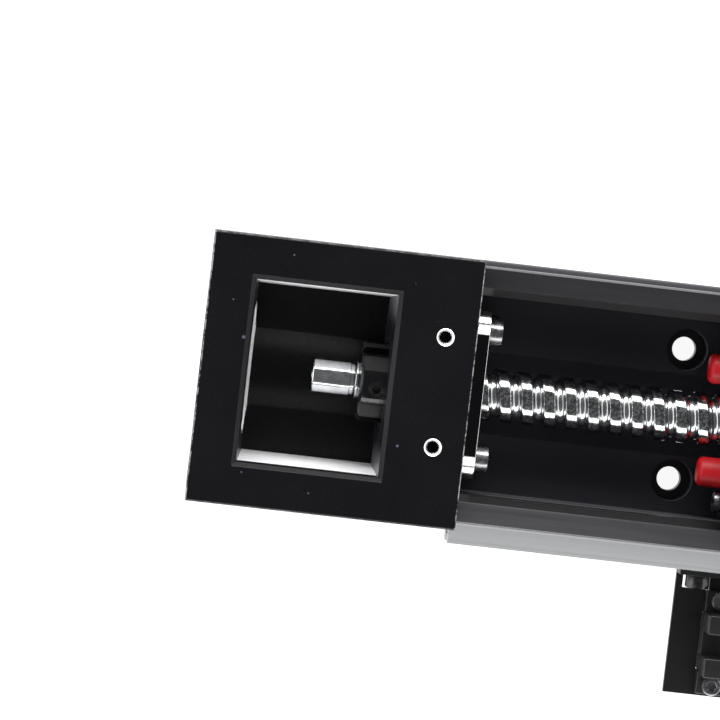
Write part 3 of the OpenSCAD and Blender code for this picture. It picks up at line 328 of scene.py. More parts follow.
def rail_plating(c):
    """Black plating over ground steel, with worn top faces on the walls that also carry painted
    light.
    """
    f = Finish("rail_black_plating")
    x, y, z = f.axes()
    ny, nz = f.axes("Normal")[1:]
    grain = f.noise(2200.0, 4.0, 0.6)
    cloud = f.noise(30.0, 4.0)
    lines = f.noise(420.0, 5.0, 0.7, stretch=(0.02, 1.0, 1.0))
    wear = f.noise(60.0, 5.0, 0.65, stretch=(0.12, 1.0, 1.0))
    top = (z > RAIL[1].z - 0.3 * MM) * (nz > 0.5)
    # Painted light: the wall tops fade along X and are lighter on the -Y side
    painted_light_fade = f.ramp(x, RAIL[0].x, 20 * MM, 1.0, 0.4)
    worn = top * painted_light_fade * f.ramp(wear + lines * 0.4, 0.5, 0.9, 0.3, 1.0) * (
        1.0 + (y < 0.0) * 3.6)
    # Painted shade: the slopes are darker
    slope = (z > RAIL[1].z - 2.6 * MM) * (nz < 0.97) * (abs(y) < 25 * MM)
    # Painted light: a pale line along each wall's outer top edge
    rim = f.between(abs(y), 27.4 * MM, 29 * MM) * (z > RAIL[1].z - 2 * MM) * (nz < 0.985)
    groove = (abs(ny) > 0.3) * f.between(z, 11.5 * MM, 22.5 * MM) * f.between(
        abs(y), 20.2 * MM, 23.4 * MM)
    dust = f.specks(260.0, 0.14, 0.02) * (nz > 0.9)
    # Painted light: the floor is lighter, most of all beside the screw
    beside = (z < FLOOR_TOP) * 1.9 + (z < FLOOR_TOP) * f.ramp(
        abs(y), 6 * MM, 15 * MM, 2.4, 0.0) * (1.0 + (nz < 0.995) * 1.6)
    # Painted light: the foot is lighter
    rim = f.maths("MAXIMUM", rim, (z < 4 * MM) * (abs(y) > 28.6 * MM) * 0.8)
    base = f.mix(worn * 0.09 + rim * 0.4 + groove * 0.15, f.shade(
        c.rail, (f.ramp(cloud, 0.25, 0.75, 0.8, 1.2) + beside) * (1.0 - slope * 0.7)
        + dust * 12.0), (0.2, 0.2, 0.21))
    rough = f.ramp(grain, 0.2, 0.8, 0.28, 0.42) + top * 0.06 + groove * 0.35
    relief = f.bump(lines * 0.7 + grain * 0.3, 0.008 * MM, 0.6)
    return f.surface(base, rough, groove * 0.2 + worn * 0.1, relief, Specular_IOR_Level=0.3)


def ground_steel(name, tone, rough_low, rough_high, stretch, depth=0.004):
    """Steel with fine grinding lines and slight stains of oil."""
    f = Finish(name)
    lines = f.noise(700.0, 4.0, 0.65, stretch=stretch)
    cloud = f.noise(90.0, 4.0, 0.6)
    base = f.shade(tone, f.ramp(cloud, 0.3, 0.75, 0.82, 1.06) * f.ramp(lines, 0.2, 0.8, 0.9, 1.05))
    rough = f.ramp(lines * 0.5 + cloud * 0.5, 0.3, 0.7, rough_low, rough_high)
    return f.surface(base, rough, 1.0, f.bump(lines, depth * MM, 0.6))


def screw_steel(c):
    """Bright lands and darker grooves with fine turning marks round the screw."""
    f = Finish("screw_rolled_steel")
    x, y, z = f.axes()
    up = z - AXIS_Z
    radius = (y * y + up * up) ** 0.5
    turned = f.wire("ShaderNodeCombineXYZ", {}, {0: x, 1: radius, 2: 0.0})
    rings = f.wire("ShaderNodeTexNoise", {}, {"Vector": turned, "Scale": 4200.0, "Detail": 4.0,
                                              "Roughness": 0.7})
    streaks = f.noise(520.0, 5.0, 0.7)
    cloud = f.noise(140.0, 3.0)
    groove = f.ramp(radius, 5.6 * MM, 5.97 * MM, 1.0, 0.0) * f.between(
        x, -97.2 * MM, 97.2 * MM)
    mottle = f.noise(1500.0, 4.0, 0.75)
    land = f.between(x, -97.2 * MM, 97.2 * MM) * (radius > 5.8 * MM)
    base = f.shade(c.steel, f.ramp(cloud, 0.3, 0.7, 0.86, 1.08) * (1.0 - groove * 0.22)
                   * f.ramp(streaks, 0.35, 0.7, 0.84, 1.05)
                   * (1.0 - land * f.ramp(mottle, 0.42, 0.62, 0.65, 0.0)))
    rough = f.ramp(streaks, 0.3, 0.7, 0.07, 0.2) + groove * 0.05
    return f.surface(base, rough, 1.0, f.bump(rings * 0.7 + streaks * 0.3, 0.006 * MM, 0.55))


def mirror_steel(c):
    """Polished balls with a trace of oil."""
    f = Finish("ball_mirror_steel")
    film = f.noise(350.0, 2.0)
    return f.surface(f.shade(c.steel, f.ramp(film, 0.3, 0.7, 0.98, 1.1)),
                     f.ramp(film, 0.35, 0.7, 0.04, 0.1), 1.0)


def bright_nickel(c):
    """Nickel plating, a painted dark reflection on its top's middle, and ends rolled only by a
    bump.
    """
    f = Finish("nickel_plating")
    y, z = f.axes()[1:]
    nz = f.axes("Normal")[2]
    wave = f.noise(160.0, 3.0)
    fine = f.noise(1800.0, 3.0, 0.6)
    top = (nz > 0.96) * (z > 20 * MM)
    # Painted reflection: the middle of the top face is dark
    dark = top * f.ramp(abs(y), 13.6 * MM, 14.4 * MM, 1.0, 0.0)
    roll = top * f.maths("MAXIMUM", abs(y) - 13.6 * MM, 0.0) * -650.0
    return f.surface(f.mix(dark, f.shade(c.nickel, f.ramp(wave, 0.3, 0.7, 0.92, 1.05)),
                           (0.035, 0.034, 0.034)),
                     f.ramp(fine, 0.3, 0.7, 0.12, 0.24), 1.0,
                     f.bump(wave * 0.006 + fine * 0.002 + roll, 1.0 * MM, 0.9))


def glossy_oxide(c):
    """Glossy black oxide that has worn to steel along its turned edges."""
    f = Finish("glossy_black_oxide")
    stain = f.noise(260.0, 5.0, 0.7)
    fine = f.noise(2400.0, 3.0)
    x, ny = f.axes()[0], f.axes("Normal")[1]
    turned = f.wire("ShaderNodeCombineXYZ", {}, {0: x, 1: 0.0, 2: 0.0})
    rings = f.wire("ShaderNodeTexNoise", {}, {"Vector": turned, "Scale": 5200.0, "Detail": 2.0})
    worn = f.ramp(stain, 0.62, 0.8)
    # Painted shade: the facets on the +Y side are rougher
    dull = f.between(ny, 0.3, 0.95)
    return f.surface(f.mix(worn * 0.4, c.oxide, (0.05, 0.05, 0.055)),
                     f.ramp(fine, 0.3, 0.7, 0.12, 0.24) + dull * 0.5, worn * 0.2,
                     f.bump(rings, 0.005 * MM, 0.6), Specular_IOR_Level=0.45)


def oiled_steel(name, tone):
    """Alloy steel screws: dark, oiled, with mottled lighter spots."""
    f = Finish(name)
    mottle = f.noise(900.0, 5.0, 0.7)
    fine = f.noise(4200.0, 2.0)
    return f.surface(f.shade(tone, f.ramp(mottle, 0.3, 0.75, 0.7, 1.25)),
                     f.ramp(mottle, 0.3, 0.7, 0.2, 0.38), 0.95, f.bump(fine, 0.004 * MM, 0.6))


def drawn_aluminium(c):
    """Clear anodised extrusion with die lines along its length."""
    f = Finish("anodised_extrusion")
    lines = f.noise(900.0, 4.0, 0.7, stretch=(0.006, 1.0, 1.0))
    broad = f.noise(220.0, 3.0, 0.6, stretch=(0.004, 1.0, 1.0))
    grain = f.noise(3000.0, 3.0)
    nicks = f.specks(240.0, 0.1, 0.02)
    y = f.axes()[1] - RAIL[0].y
    # Painted highlight: a light line near the guide rail. Painted shade: a dark one near the outer
    # edge
    drawn = f.between(y, -1.3 * MM, -0.8 * MM) * 0.16 - f.between(y, -5 * MM, -4.6 * MM) * 0.14
    base = f.shade(c.aluminium, f.ramp(broad, 0.3, 0.7, 0.92, 1.07)
                   * f.ramp(lines, 0.25, 0.75, 0.95, 1.04) - nicks * 0.35 + drawn)
    return f.surface(base, f.ramp(grain, 0.3, 0.7, 0.36, 0.5), 0.25,
                     f.bump(lines * 0.8 + grain * 0.2, 0.012 * MM, 0.6))


def zinc_sheet(c):
    """Zinc plating with a faint spangle and drawn scratches."""
    f = Finish("zinc_plating")
    cells = f.node("ShaderNodeTexVoronoi", {}, {"Vector": f.place, "Scale": 420.0})
    spangle = f.wire("ShaderNodeSeparateColor", {}, {0: Wire(f, cells.outputs["Color"])})
    scratch = f.noise(800.0, 5.0, 0.7, stretch=(0.08, 1.0, 1.0))
    return f.surface(f.shade(c.zinc, f.ramp(spangle, 0.0, 1.0, 0.9, 1.06)),
                     f.ramp(scratch, 0.3, 0.7, 0.26, 0.42), 0.75,
                     f.bump(scratch * 0.7 + spangle * 0.3, 0.006 * MM, 0.5))


def turned_brass(c):
    f = Finish("turned_brass")
    cloud = f.noise(400.0, 4.0)
    fine = f.noise(3600.0, 3.0, 0.7)
    return f.surface(f.shade(c.brass, f.ramp(cloud, 0.3, 0.7, 0.84, 1.06)),
                     f.ramp(fine, 0.3, 0.7, 0.18, 0.32), 1.0, f.bump(fine, 0.004 * MM, 0.5))


def moulded(name, tone, scale, low, high, depth, **others):
    """Moulded plastic or rubber with the eroded texture of its mould."""
    f = Finish(name)
    texture = f.noise(scale, 4.0, 0.65)
    cloud = f.noise(120.0, 3.0)
    return f.surface(f.shade(tone, f.ramp(cloud, 0.3, 0.7, 0.86, 1.16)),
                     f.ramp(texture, 0.3, 0.7, low, high), 0.0,
                     f.bump(texture, depth * MM, 0.7), **others)


def powder_coat(c):
    """Black powder coat with its orange peel."""
    f = Finish("black_powder_coat")
    peel = f.noise(1100.0, 2.0, 0.4)
    fine = f.noise(4000.0, 2.0)
    return f.surface(f.shade(c.coat, f.ramp(peel, 0.3, 0.7, 0.88, 1.12)),
                     f.ramp(fine, 0.3, 0.7, 0.34, 0.46), 0.0, f.bump(peel, 0.03 * MM, 0.7))


FINISHES = {}


def make_finishes(c):
    """Makes every material once, by its short name."""
    along = (0.02, 1.0, 1.0)
    FINISHES.update(
        housing=housing_plating(c), rail=rail_plating(c), screw=screw_steel(c),
        balls=mirror_steel(c), nickel=bright_nickel(c), oxide=glossy_oxide(c),
        fastener=oiled_steel("oiled_alloy_steel", c.fastener),
        dark_fastener=oiled_steel("dark_oiled_steel", tuple(v * 0.35 for v in c.fastener)),
        aluminium=drawn_aluminium(c), zinc=zinc_sheet(c), brass=turned_brass(c),
        bearing=ground_steel("bearing_ground_steel", c.steel, 0.1, 0.2, (0.3, 1.0, 1.0)),
        carriage=ground_steel("carriage_ground_steel", c.carriage, 0.24, 0.4, along, 0.008),
        red=moulded("red_polyurethane", c.red, 1600.0, 0.38, 0.5, 0.01,
                    Specular_IOR_Level=0.3),
        nylon=moulded("black_nylon", c.nylon, 2600.0, 0.42, 0.58, 0.02),
        rubber=moulded("nitrile_rubber", c.rubber, 1900.0, 0.55, 0.72, 0.02),
        sensor=moulded("moulded_sensor_black", c.sensor, 3400.0, 0.36, 0.52, 0.015),
        coat=powder_coat(c))


# ---- Shaping helpers ----


def new_object(name, mesh):
    made = bpy.data.objects.new(name, mesh)
    bpy.context.scene.collection.objects.link(made)
    return made


def baked(source, name):
    """The evaluated mesh of an object with modifiers, as a plain mesh. The source is removed."""
    graph = bpy.context.evaluated_depsgraph_get()
    mesh = bpy.data.meshes.new_from_object(source.evaluated_get(graph),
                                           preserve_all_data_layers=True, depsgraph=graph)
    mesh.name = name
    old = source.data
    bpy.data.objects.remove(source)
    bpy.data.meshes.remove(old)
    return mesh


def piece(name, mesh, finish, body, nodes):
    """Puts a finished mesh in place of its CAD nodes."""
    mesh.materials.clear()
    mesh.materials.append(FINISHES[finish])
    made = new_object(name, mesh)
    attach(made, body)
    if nodes:
        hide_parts(*nodes)
    return made


def smooth(mesh, angle):
    """Shades smoothly, with edges sharper than the angle kept crisp."""
    mesh.polygons.foreach_set("use_smooth", [True] * len(mesh.polygons))
    mesh.set_sharp_from_angle(angle=math.radians(angle))
    return mesh


def softened(node, width, segments=2, angle=40.0, reshape=None):
    """A merged copy of a CAD node, reshaped if asked, with its sharp edges rounded.

    The rounding is clamped so that it never overlaps, and the shortest edge of a piece sets the
    clamp for all of it. On most nodes that leaves far less than the width asked for.
    """
    bm = bmesh.new()
    bm.from_mesh(frame["nodes"][node].data)
    bmesh.ops.remove_doubles(bm, verts=bm.verts, dist=1e-6)
    bmesh.ops.dissolve_limit(bm, angle_limit=math.radians(0.6), verts=bm.verts, edges=bm.edges)
    if reshape:
        reshape(bm.verts)
    mesh = bpy.data.meshes.new(node + "_soft")
    bm.to_mesh(mesh)
    bm.free()
    mesh.polygons.foreach_set("use_smooth", [True] * len(mesh.polygons))
    source = new_object(node + "_soft", mesh)
    bevel = source.modifiers.new("Edge rounding", "BEVEL")
    bevel.width = width
    bevel.segments = segments
    bevel.limit_method = "ANGLE"
    bevel.angle_limit = math.radians(angle)
    bevel.use_clamp_overlap = True
    bevel.miter_outer = "MITER_ARC"
    bevel.face_strength_mode = "FSTR_AFFECTED"
    flat = source.modifiers.new("Flat faces", "WEIGHTED_NORMAL")
    flat.use_face_influence, flat.weight = True, 100
    return baked(source, node + "_dressed")


def dress(node, finish, width=None, segments=2, angle=40.0, name=None, reshape=None):
    """Rounds one CAD node's edges and gives it its finish."""
    mesh = softened(node, width or SIZES().edge, segments, angle, reshape)
    return piece(name or node + "_dressed", mesh, finish, NODE_BODY[node], [node])


def repaint(node, finish):
    """Gives a CAD node that is already right its finish."""
    target = frame["nodes"][node]
    for index in range(len(target.material_slots)):
        target.material_slots[index].material = FINISHES[finish]


def lathe(bm, outline, steps=64, turn=None):
    """Spins an outline of (place along Z, radius) into a closed solid of revolution."""
    rings = []
    for along, radius in outline:
        if radius < 1e-7:
            rings.append([bm.verts.new((0.0, 0.0, along))])
        else:
            rings.append([bm.verts.new((radius * math.cos(2 * math.pi * k / steps),
                                        radius * math.sin(2 * math.pi * k / steps), along))
                          for k in range(steps)])
    made = [v for ring in rings for v in ring]
    pairs = list(zip(rings, rings[1:]))
    if len(rings[0]) > 1:
        pairs.append((rings[-1], rings[0]))
    for a, b in pairs:
        for k in range(steps):
            corners = [a[k % len(a)], a[(k + 1) % len(a)], b[(k + 1) % len(b)], b[k % len(b)]]
            distinct = list(dict.fromkeys(corners))
            if len(distinct) > 2:
                bm.faces.new(distinct)
    if turn is not None:
        bmesh.ops.transform(bm, matrix=turn, verts=made)
    return made


def block(bm, low, high):
    """A box between two corners."""
    made = bmesh.ops.create_cube(bm, size=1.0)["verts"]
    size, middle = Vector(high) - Vector(low), (Vector(high) + Vector(low)) / 2
    bmesh.ops.transform(bm, verts=made, matrix=Matrix.Translation(middle) @ Matrix.Diagonal(
        (*size, 1.0)))
    return made


def finished_mesh(bm, name, angle=35.0):
    """Turns outward, merges and shades what was built."""
    bmesh.ops.remove_doubles(bm, verts=bm.verts, dist=1e-7)
    bmesh.ops.recalc_face_normals(bm, faces=bm.faces)
    mesh = bpy.data.meshes.new(name)
    bm.to_mesh(mesh)
    bm.free()
    return smooth(mesh, angle)


def along_x(x, y, z, facing=1.0):
    """Puts a shape's Z along X, at a place."""
    return Matrix.Translation((x, y, z)) @ Matrix.Rotation(facing * math.pi / 2, 4, "Y")


# ---- Geometry node trees ----


class Recipe(Board):
    """A geometry node tree with named inputs that ends in Realize Instances and Set Material."""

    def __init__(self, name, inputs):
        tree = bpy.data.node_groups.new(name, "GeometryNodeTree")
        super().__init__(tree)
        tree.interface.new_socket("Geometry", in_out="INPUT", socket_type="NodeSocketGeometry")
        self.identifiers = {}
        for label, (kind, default) in inputs.items():
            socket = tree.interface.new_socket(label, in_out="INPUT", socket_type=kind)
            if default is not None:
                socket.default_value = default
            self.identifiers[label] = socket.identifier
        tree.interface.new_socket("Geometry", in_out="OUTPUT", socket_type="NodeSocketGeometry")
        self.entry = self.node("NodeGroupInput")

    def given(self, label):
        return Wire(self, self.entry.outputs[label])

    def close(self, geometry):
        """Realizes, names the material and ends the tree."""
        real = self.wire("GeometryNodeRealizeInstances", {}, {0: geometry})
        dressed = self.wire("GeometryNodeSetMaterial", {}, {
            "Geometry": real, "Material": self.given("Material")})
        self.node("NodeGroupOutput", {}, {0: dressed})

    def bake(self, name, source_mesh, values):
        """Runs the tree on a mesh of places and returns the plain mesh."""
        source = new_object(name + "_source", source_mesh)
        modifier = source.modifiers.new(self.tree.name, "NODES")
        modifier.node_group = self.tree
        for label, value in values.items():
            modifier[self.identifiers[label]] = value
        return baked(source, name)


def places(name, seats, attributes=None):
    """A mesh of bare points, with a vector attribute where one is asked for."""
    mesh = bpy.data.meshes.new(name)
    mesh.from_pydata([tuple(s) for s in seats], [], [])
    for label, vectors in (attributes or {}).items():
        layer = mesh.attributes.new(label, "FLOAT_VECTOR", "POINT")
        layer.data.foreach_set("vector", [v for vector in vectors for v in vector])
    return mesh


FLOAT, INTEGER, MATERIAL = "NodeSocketFloat", "NodeSocketInt", "NodeSocketMaterial"


def thread_recipe():
    """Winds one lead of the screw's profile along its axis, from land to land across the groove."""
    r = Recipe("Ball Screw Thread", {
        "Start": (FLOAT, -0.097), "End": (FLOAT, 0.097), "Lead": (FLOAT, 0.005),
        "Land Radius": (FLOAT, 0.006), "Ball Path Radius": (FLOAT, 0.00615),
        "Groove Radius": (FLOAT, 0.0012), "Land Edge": (FLOAT, 0.0001),
        "End Radius": (FLOAT, 0.0057), "Axis Height": (FLOAT, 0.0155),
        "Steps per Turn": (INTEGER, 44), "Profile Steps": (INTEGER, 24),
        "Material": (MATERIAL, None)})
    lead, start, end = r.given("Lead"), r.given("Start"), r.given("End")
    land, path, groove = (r.given(k) for k in ("Land Radius", "Ball Path Radius", "Groove Radius"))
    first = r.maths("FLOOR", start / lead) - 1.0
    turns = r.maths("CEIL", end / lead) - first + 1.0
    grid = r.node("GeometryNodeMeshGrid", {}, {
        "Size X": 1.0, "Size Y": 1.0,
        "Vertices X": turns * r.given("Steps per Turn") + 1.0,
        "Vertices Y": r.given("Profile Steps") + 1.0})
    spot = r.node("ShaderNodeSeparateXYZ", {}, {0: r.wire("GeometryNodeInputPosition")})
    turn = (Wire(r, spot.outputs[0]) + 0.5) * turns + first
    across = (Wire(r, spot.outputs[1]) + 0.5) * 4.0 - 2.0
    # The middle half of the samples lies in the groove, the outer quarters on the lands
    swing = r.maths("ARCCOSINE", (path - land) / groove)
    edge = groove * r.maths("SINE", swing)
    in_groove = abs(across) < 1.0001
    angle = swing * r.maths("MINIMUM", r.maths("MAXIMUM", across, -1.0), 1.0)
    over = r.maths("MAXIMUM", abs(across) - 1.0, 0.0)
    offset = (groove * r.maths("SINE", angle)
              + r.maths("SIGN", across) * over * (lead * 0.5 - edge))
    land_now = land - r.given("Land Edge") * (1.0 - r.maths("MINIMUM", over * 6.0, 1.0)) ** 2.0
    radius = (in_groove * (path - groove * r.maths("COSINE", angle))
              + (1.0 - in_groove) * land_now)
    radius = r.maths("MINIMUM", radius, land_now)
    x = turn * lead + offset
    inside = (x > start) * (x < end)
    x = r.maths("MINIMUM", r.maths("MAXIMUM", x, start), end)
    radius = inside * radius + (1.0 - inside) * r.given("End Radius")
    sweep = turn * (2.0 * math.pi)
    where = r.wire("ShaderNodeCombineXYZ", {}, {
        0: x, 1: radius * r.maths("COSINE", sweep),
        2: radius * r.maths("SINE", sweep) + r.given("Axis Height")})
    wound = r.wire("GeometryNodeSetPosition", {}, {
        "Geometry": Wire(r, grid.outputs["Mesh"]), "Position": where})
    closed = r.wire("GeometryNodeMergeByDistance", {}, {"Geometry": wound, "Distance": 5e-6})
    r.close(closed)
    return r


def copies(r, shape):
    """Puts a copy of a shape on each place, with its Z along the place's own direction."""
    direction = r.wire("GeometryNodeInputNamedAttribute", {"data_type": "FLOAT_VECTOR"},
                       {"Name": "direction"})
    rotation = r.wire("FunctionNodeAlignRotationToVector", {"axis": "Z"}, {"Vector": direction})
    return r.wire("GeometryNodeInstanceOnPoints", {}, {
        "Points": Wire(r, r.entry.outputs[0]), "Instance": shape, "Rotation": rotation})


def socket_screw_recipe():
    """Turns the outline of a socket head screw, with a knurled head and a six-sided socket."""
    r = Recipe("Socket Screw", {
        "Head Diameter": (FLOAT, 0.0055), "Head Height": (FLOAT, 0.003),
        "Cone Height": (FLOAT, 0.0), "Shank Diameter": (FLOAT, 0.003),
        "Length": (FLOAT, 0.008), "Socket Width": (FLOAT, 0.0025),
        "Socket Depth": (FLOAT, 0.0015), "Knurl Depth": (FLOAT, 0.00009),
        "Edge": (FLOAT, 0.00025), "Steps": (INTEGER, 72), "Material": (MATERIAL, None)})
    head, shank, socket = (r.given(k) / 2.0 for k in (
        "Head Diameter", "Shank Diameter", "Socket Width"))
    high, cone, edge = (r.given(k) for k in ("Head Height", "Cone Height", "Edge"))
    deep, steps = r.given("Socket Depth"), r.given("Steps")
    stations = [
        (0.0, 0.0 - r.given("Length"), 0.0), (shank - edge, 0.0 - r.given("Length"), 0.0),
        (shank, edge - r.given("Length"), 0.0), (shank, 0.0 - cone, 0.0),
        (head - edge * 0.5, 0.0, 0.0), (head, edge * 0.6, 1.0),
        (head, high - edge * 1.6, 1.0), (head - edge * 0.4, high - edge * 0.5, 0.0),
        (head - edge * 1.3, high, 0.0), (socket + edge * 0.5, high, 2.0),
        (socket, high - edge * 0.5, 2.0), (socket, high - deep, 2.0), (0.0, high - deep, 2.0)]
    grid = r.node("GeometryNodeMeshGrid", {}, {
        "Size X": 1.0, "Size Y": 1.0, "Vertices X": steps + 1.0,
        "Vertices Y": len(stations)})
    spot = r.node("ShaderNodeSeparateXYZ", {}, {0: r.wire("GeometryNodeInputPosition")})
    step = r.maths("ROUND", (Wire(r, spot.outputs[0]) + 0.5) * steps)
    station = r.maths("ROUND", (Wire(r, spot.outputs[1]) + 0.5) * (len(stations) - 1.0))

    def chosen(values):
        switch = r.tree.nodes.new("GeometryNodeIndexSwitch")
        switch.data_type = "FLOAT"
        while len(switch.index_switch_items) < len(values):
            switch.index_switch_items.new()
        r.tree.links.new(station.socket, switch.inputs[0])
        for k, value in enumerate(values):
            if isinstance(value, Wire):
                r.tree.links.new(value.socket, switch.inputs[1 + k])
            else:
                switch.inputs[1 + k].default_value = value
        return Wire(r, switch.outputs[0])

    radius, level, kind = (chosen([s[i] for s in stations]) for i in range(3))
    sweep = step / steps * (2.0 * math.pi)
    sixth = math.pi / 3.0
    flat = 1.0 / r.maths("COSINE", r.maths("MODULO", sweep, sixth) - sixth / 2.0)
    ridge = r.maths("MODULO", step, 2.0) * r.given("Knurl Depth")
    radius = (radius - r.maths("COMPARE", kind, 1.0, 0.5) * ridge) * (
        1.0 + (kind > 1.5) * (flat - 1.0))
    where = r.wire("ShaderNodeCombineXYZ", {}, {
        0: radius * r.maths("COSINE", sweep), 1: radius * r.maths("SINE", sweep), 2: level})
    turned = r.wire("GeometryNodeSetPosition", {}, {
        "Geometry": Wire(r, grid.outputs["Mesh"]), "Position": where})
    closed = r.wire("GeometryNodeMergeByDistance", {}, {"Geometry": turned, "Distance": 2e-6})
    r.close(copies(r, closed))
    return r


def ball_recipe():
    """Puts a ball on each place."""
    r = Recipe("Balls", {"Diameter": (FLOAT, 0.003), "Fineness": (INTEGER, 2),
                         "Material": (MATERIAL, None)})
    ball = r.wire("GeometryNodeMeshIcoSphere", {}, {
        "Radius": r.given("Diameter") / 2.0, "Subdivisions": r.given("Fineness")})
    r.close(copies(r, ball))
    return r


def pin_recipe():
    """Puts a square terminal pin with a pointed tip on each place."""
    r = Recipe("Terminal Pins", {"Width": (FLOAT, 0.0006), "Length": (FLOAT, 0.003),
                                 "Material": (MATERIAL, None)})
    wide, long = r.given("Width"), r.given("Length")
    body = r.node("GeometryNodeMeshCylinder", {}, {
        "Vertices": 4, "Side Segments": 1, "Radius": wide * math.sqrt(0.5), "Depth": long * 0.86})
    tip = r.node("GeometryNodeMeshCone", {}, {
        "Vertices": 4, "Radius Bottom": wide * math.sqrt(0.5),
        "Radius Top": wide * 0.25, "Depth": long * 0.14})
    low = r.wire("GeometryNodeTransform", {}, {0: Wire(r, body.outputs[0]),
                 "Translation": r.wire("ShaderNodeCombineXYZ", {}, {2: long * 0.43})})
    high = r.wire("GeometryNodeTransform", {}, {0: Wire(r, tip.outputs[0]),
                  "Translation": r.wire("ShaderNodeCombineXYZ", {}, {2: long * 0.86})})
    joined = r.tree.nodes.new("GeometryNodeJoinGeometry")
    r.tree.links.new(low.socket, joined.inputs[0])
    r.tree.links.new(high.socket, joined.inputs[0])
    turned = r.wire("GeometryNodeTransform", {}, {0: Wire(r, joined.outputs[0]),
                    "Rotation": (0.0, 0.0, math.pi / 4)})
    r.close(copies(r, turned))
    return r


# ---- Where things are ----

NODE_BODY = {node: body for body, nodes in frame["record"]["behaviour"]["bodies"].items()
             for node in nodes}


def SIZES():
    return bpy.context.scene.linear_module_sizes


def solids(node):
    """Lowest and highest corner of each separate solid of a CAD node."""
    bm = bmesh.new()
    bm.from_mesh(frame["nodes"][node].data)
    bmesh.ops.remove_doubles(bm, verts=bm.verts, dist=1e-6)
    left, found = set(bm.verts), []
    while left:
        stack, seen = [left.pop()], []
        while stack:
            v = stack.pop()
            seen.append(v.co.copy())
            for e in v.link_edges:
                other = e.other_vert(v)
                if other in left:
                    left.remove(other)
                    stack.append(other)
        found.append((Vector(min(p[i] for p in seen) for i in range(3)),
                      Vector(max(p[i] for p in seen) for i in range(3))))
    bm.free()
    return sorted(found, key=lambda box: tuple(round(v, 6) for v in box[0]))


def middle(box):
    return (box[0] + box[1]) / 2


# ---- Operators ----


class LINEARMODULE_OT_stage(bpy.types.Operator):
    """Sets up the camera, the pale floor, the soft light and the finishes"""

    bl_idname = "linear_module.stage"
    bl_label = "Stage"

    def execute(self, context):
        scene, sizes = context.scene, SIZES()
        lens = bpy.data.cameras.new("Camera")
        lens.lens, lens.sensor_width = sizes.lens, 36.0
        lens.clip_start, lens.clip_end = 0.02, 60.0
        camera = bpy.data.objects.new("Camera", lens)
        turn = Euler([math.radians(angle) for angle in CAMERA_TURN]).to_matrix()
        camera.matrix_world = Matrix.Translation(CAMERA_PLACE) @ turn.to_4x4()
        scene.collection.objects.link(camera)
        scene.camera = camera
        scene.view_settings.view_transform = "Standard"

        self.world(scene)
        floor = self.floor(sizes.floor)
        for name, side in (("Left softbox", 1.0), ("Right softbox", -1.0)):
            lamp = bpy.data.lights.new(name, "AREA")
            lamp.shape, lamp.size, lamp.size_y = "RECTANGLE", 1.6, 0.5
            lamp.energy = 17.0 + side * 7.0
            box = bpy.data.objects.new(name, lamp)
            place = Vector((-0.05, side * 1.25, 0.8))
            aim = (Vector((-0.05, 0.0, 0.02)) - place).to_track_quat("-Z", "Y")
            box.matrix_world = Matrix.Translation(place) @ aim.to_matrix().to_4x4()
            scene.collection.objects.link(box)
        make_finishes(scene.linear_module_colours)
        return {"FINISHED"}

    @staticmethod
    def world(scene):
        """A bright ring near the horizon under a darker ceiling, and white behind the module."""
        world = bpy.data.worlds.new("Studio")
        world.use_nodes = True
        scene.world = world
        b = Board(world.node_tree)
        b.tree.nodes.clear()
        coords = b.node("ShaderNodeTexCoord")
        height = Wire(b, b.node("ShaderNodeSeparateXYZ", {}, {
            0: Wire(b, coords.outputs["Generated"])}).outputs[2])
        ring = b.ramp(height, 0.5, 0.72, 2.1, 0.15)
        seen = Wire(b, b.node("ShaderNodeLightPath").outputs["Is Camera Ray"])
        strength = seen + (1.0 - seen) * ring
        shader = b.wire("ShaderNodeBackground", {}, {"Color": (1.0, 1.0, 1.0, 1.0),
                                                    "Strength": strength})
        b.node("ShaderNodeOutputWorld", {}, {"Surface": shader})

    @staticmethod
    def floor(width):
        """A pale floor that keeps the module's shadow."""
        bm = bmesh.new()
        bmesh.ops.create_grid(bm, x_segments=1, y_segments=1, size=width / 2)
        bmesh.ops.translate(bm, verts=bm.verts, vec=(0.0, 0.0, -0.0002))
        mesh = bpy.data.meshes.new("Floor")
        bm.to_mesh(mesh)
        bm.free()
        floor = new_object("Floor", mesh)
        f = Finish("studio_floor")
        path = f.node("ShaderNodeLightPath")
        seen = f.maths("MAXIMUM", Wire(f, path.outputs["Is Camera Ray"]), f.maths(
            "MAXIMUM", Wire(f, path.outputs["Is Glossy Ray"]),
            Wire(f, path.outputs["Is Transmission Ray"])))
        speckle = f.noise(400.0, 2.0)
        matt = f.wire("ShaderNodeBsdfDiffuse", {}, {
            "Color": f.shade((0.5, 0.5, 0.5), f.ramp(speckle, 0.3, 0.7, 0.98, 1.0))})
        glow = f.wire("ShaderNodeEmission", {}, {"Strength": seen * 0.92})
        both = f.node("ShaderNodeAddShader", {}, {0: matt, 1: glow})
        f.node("ShaderNodeOutputMaterial", {}, {"Surface": Wire(f, both.outputs[0])})
        mesh.materials.append(f.material)
        return floor


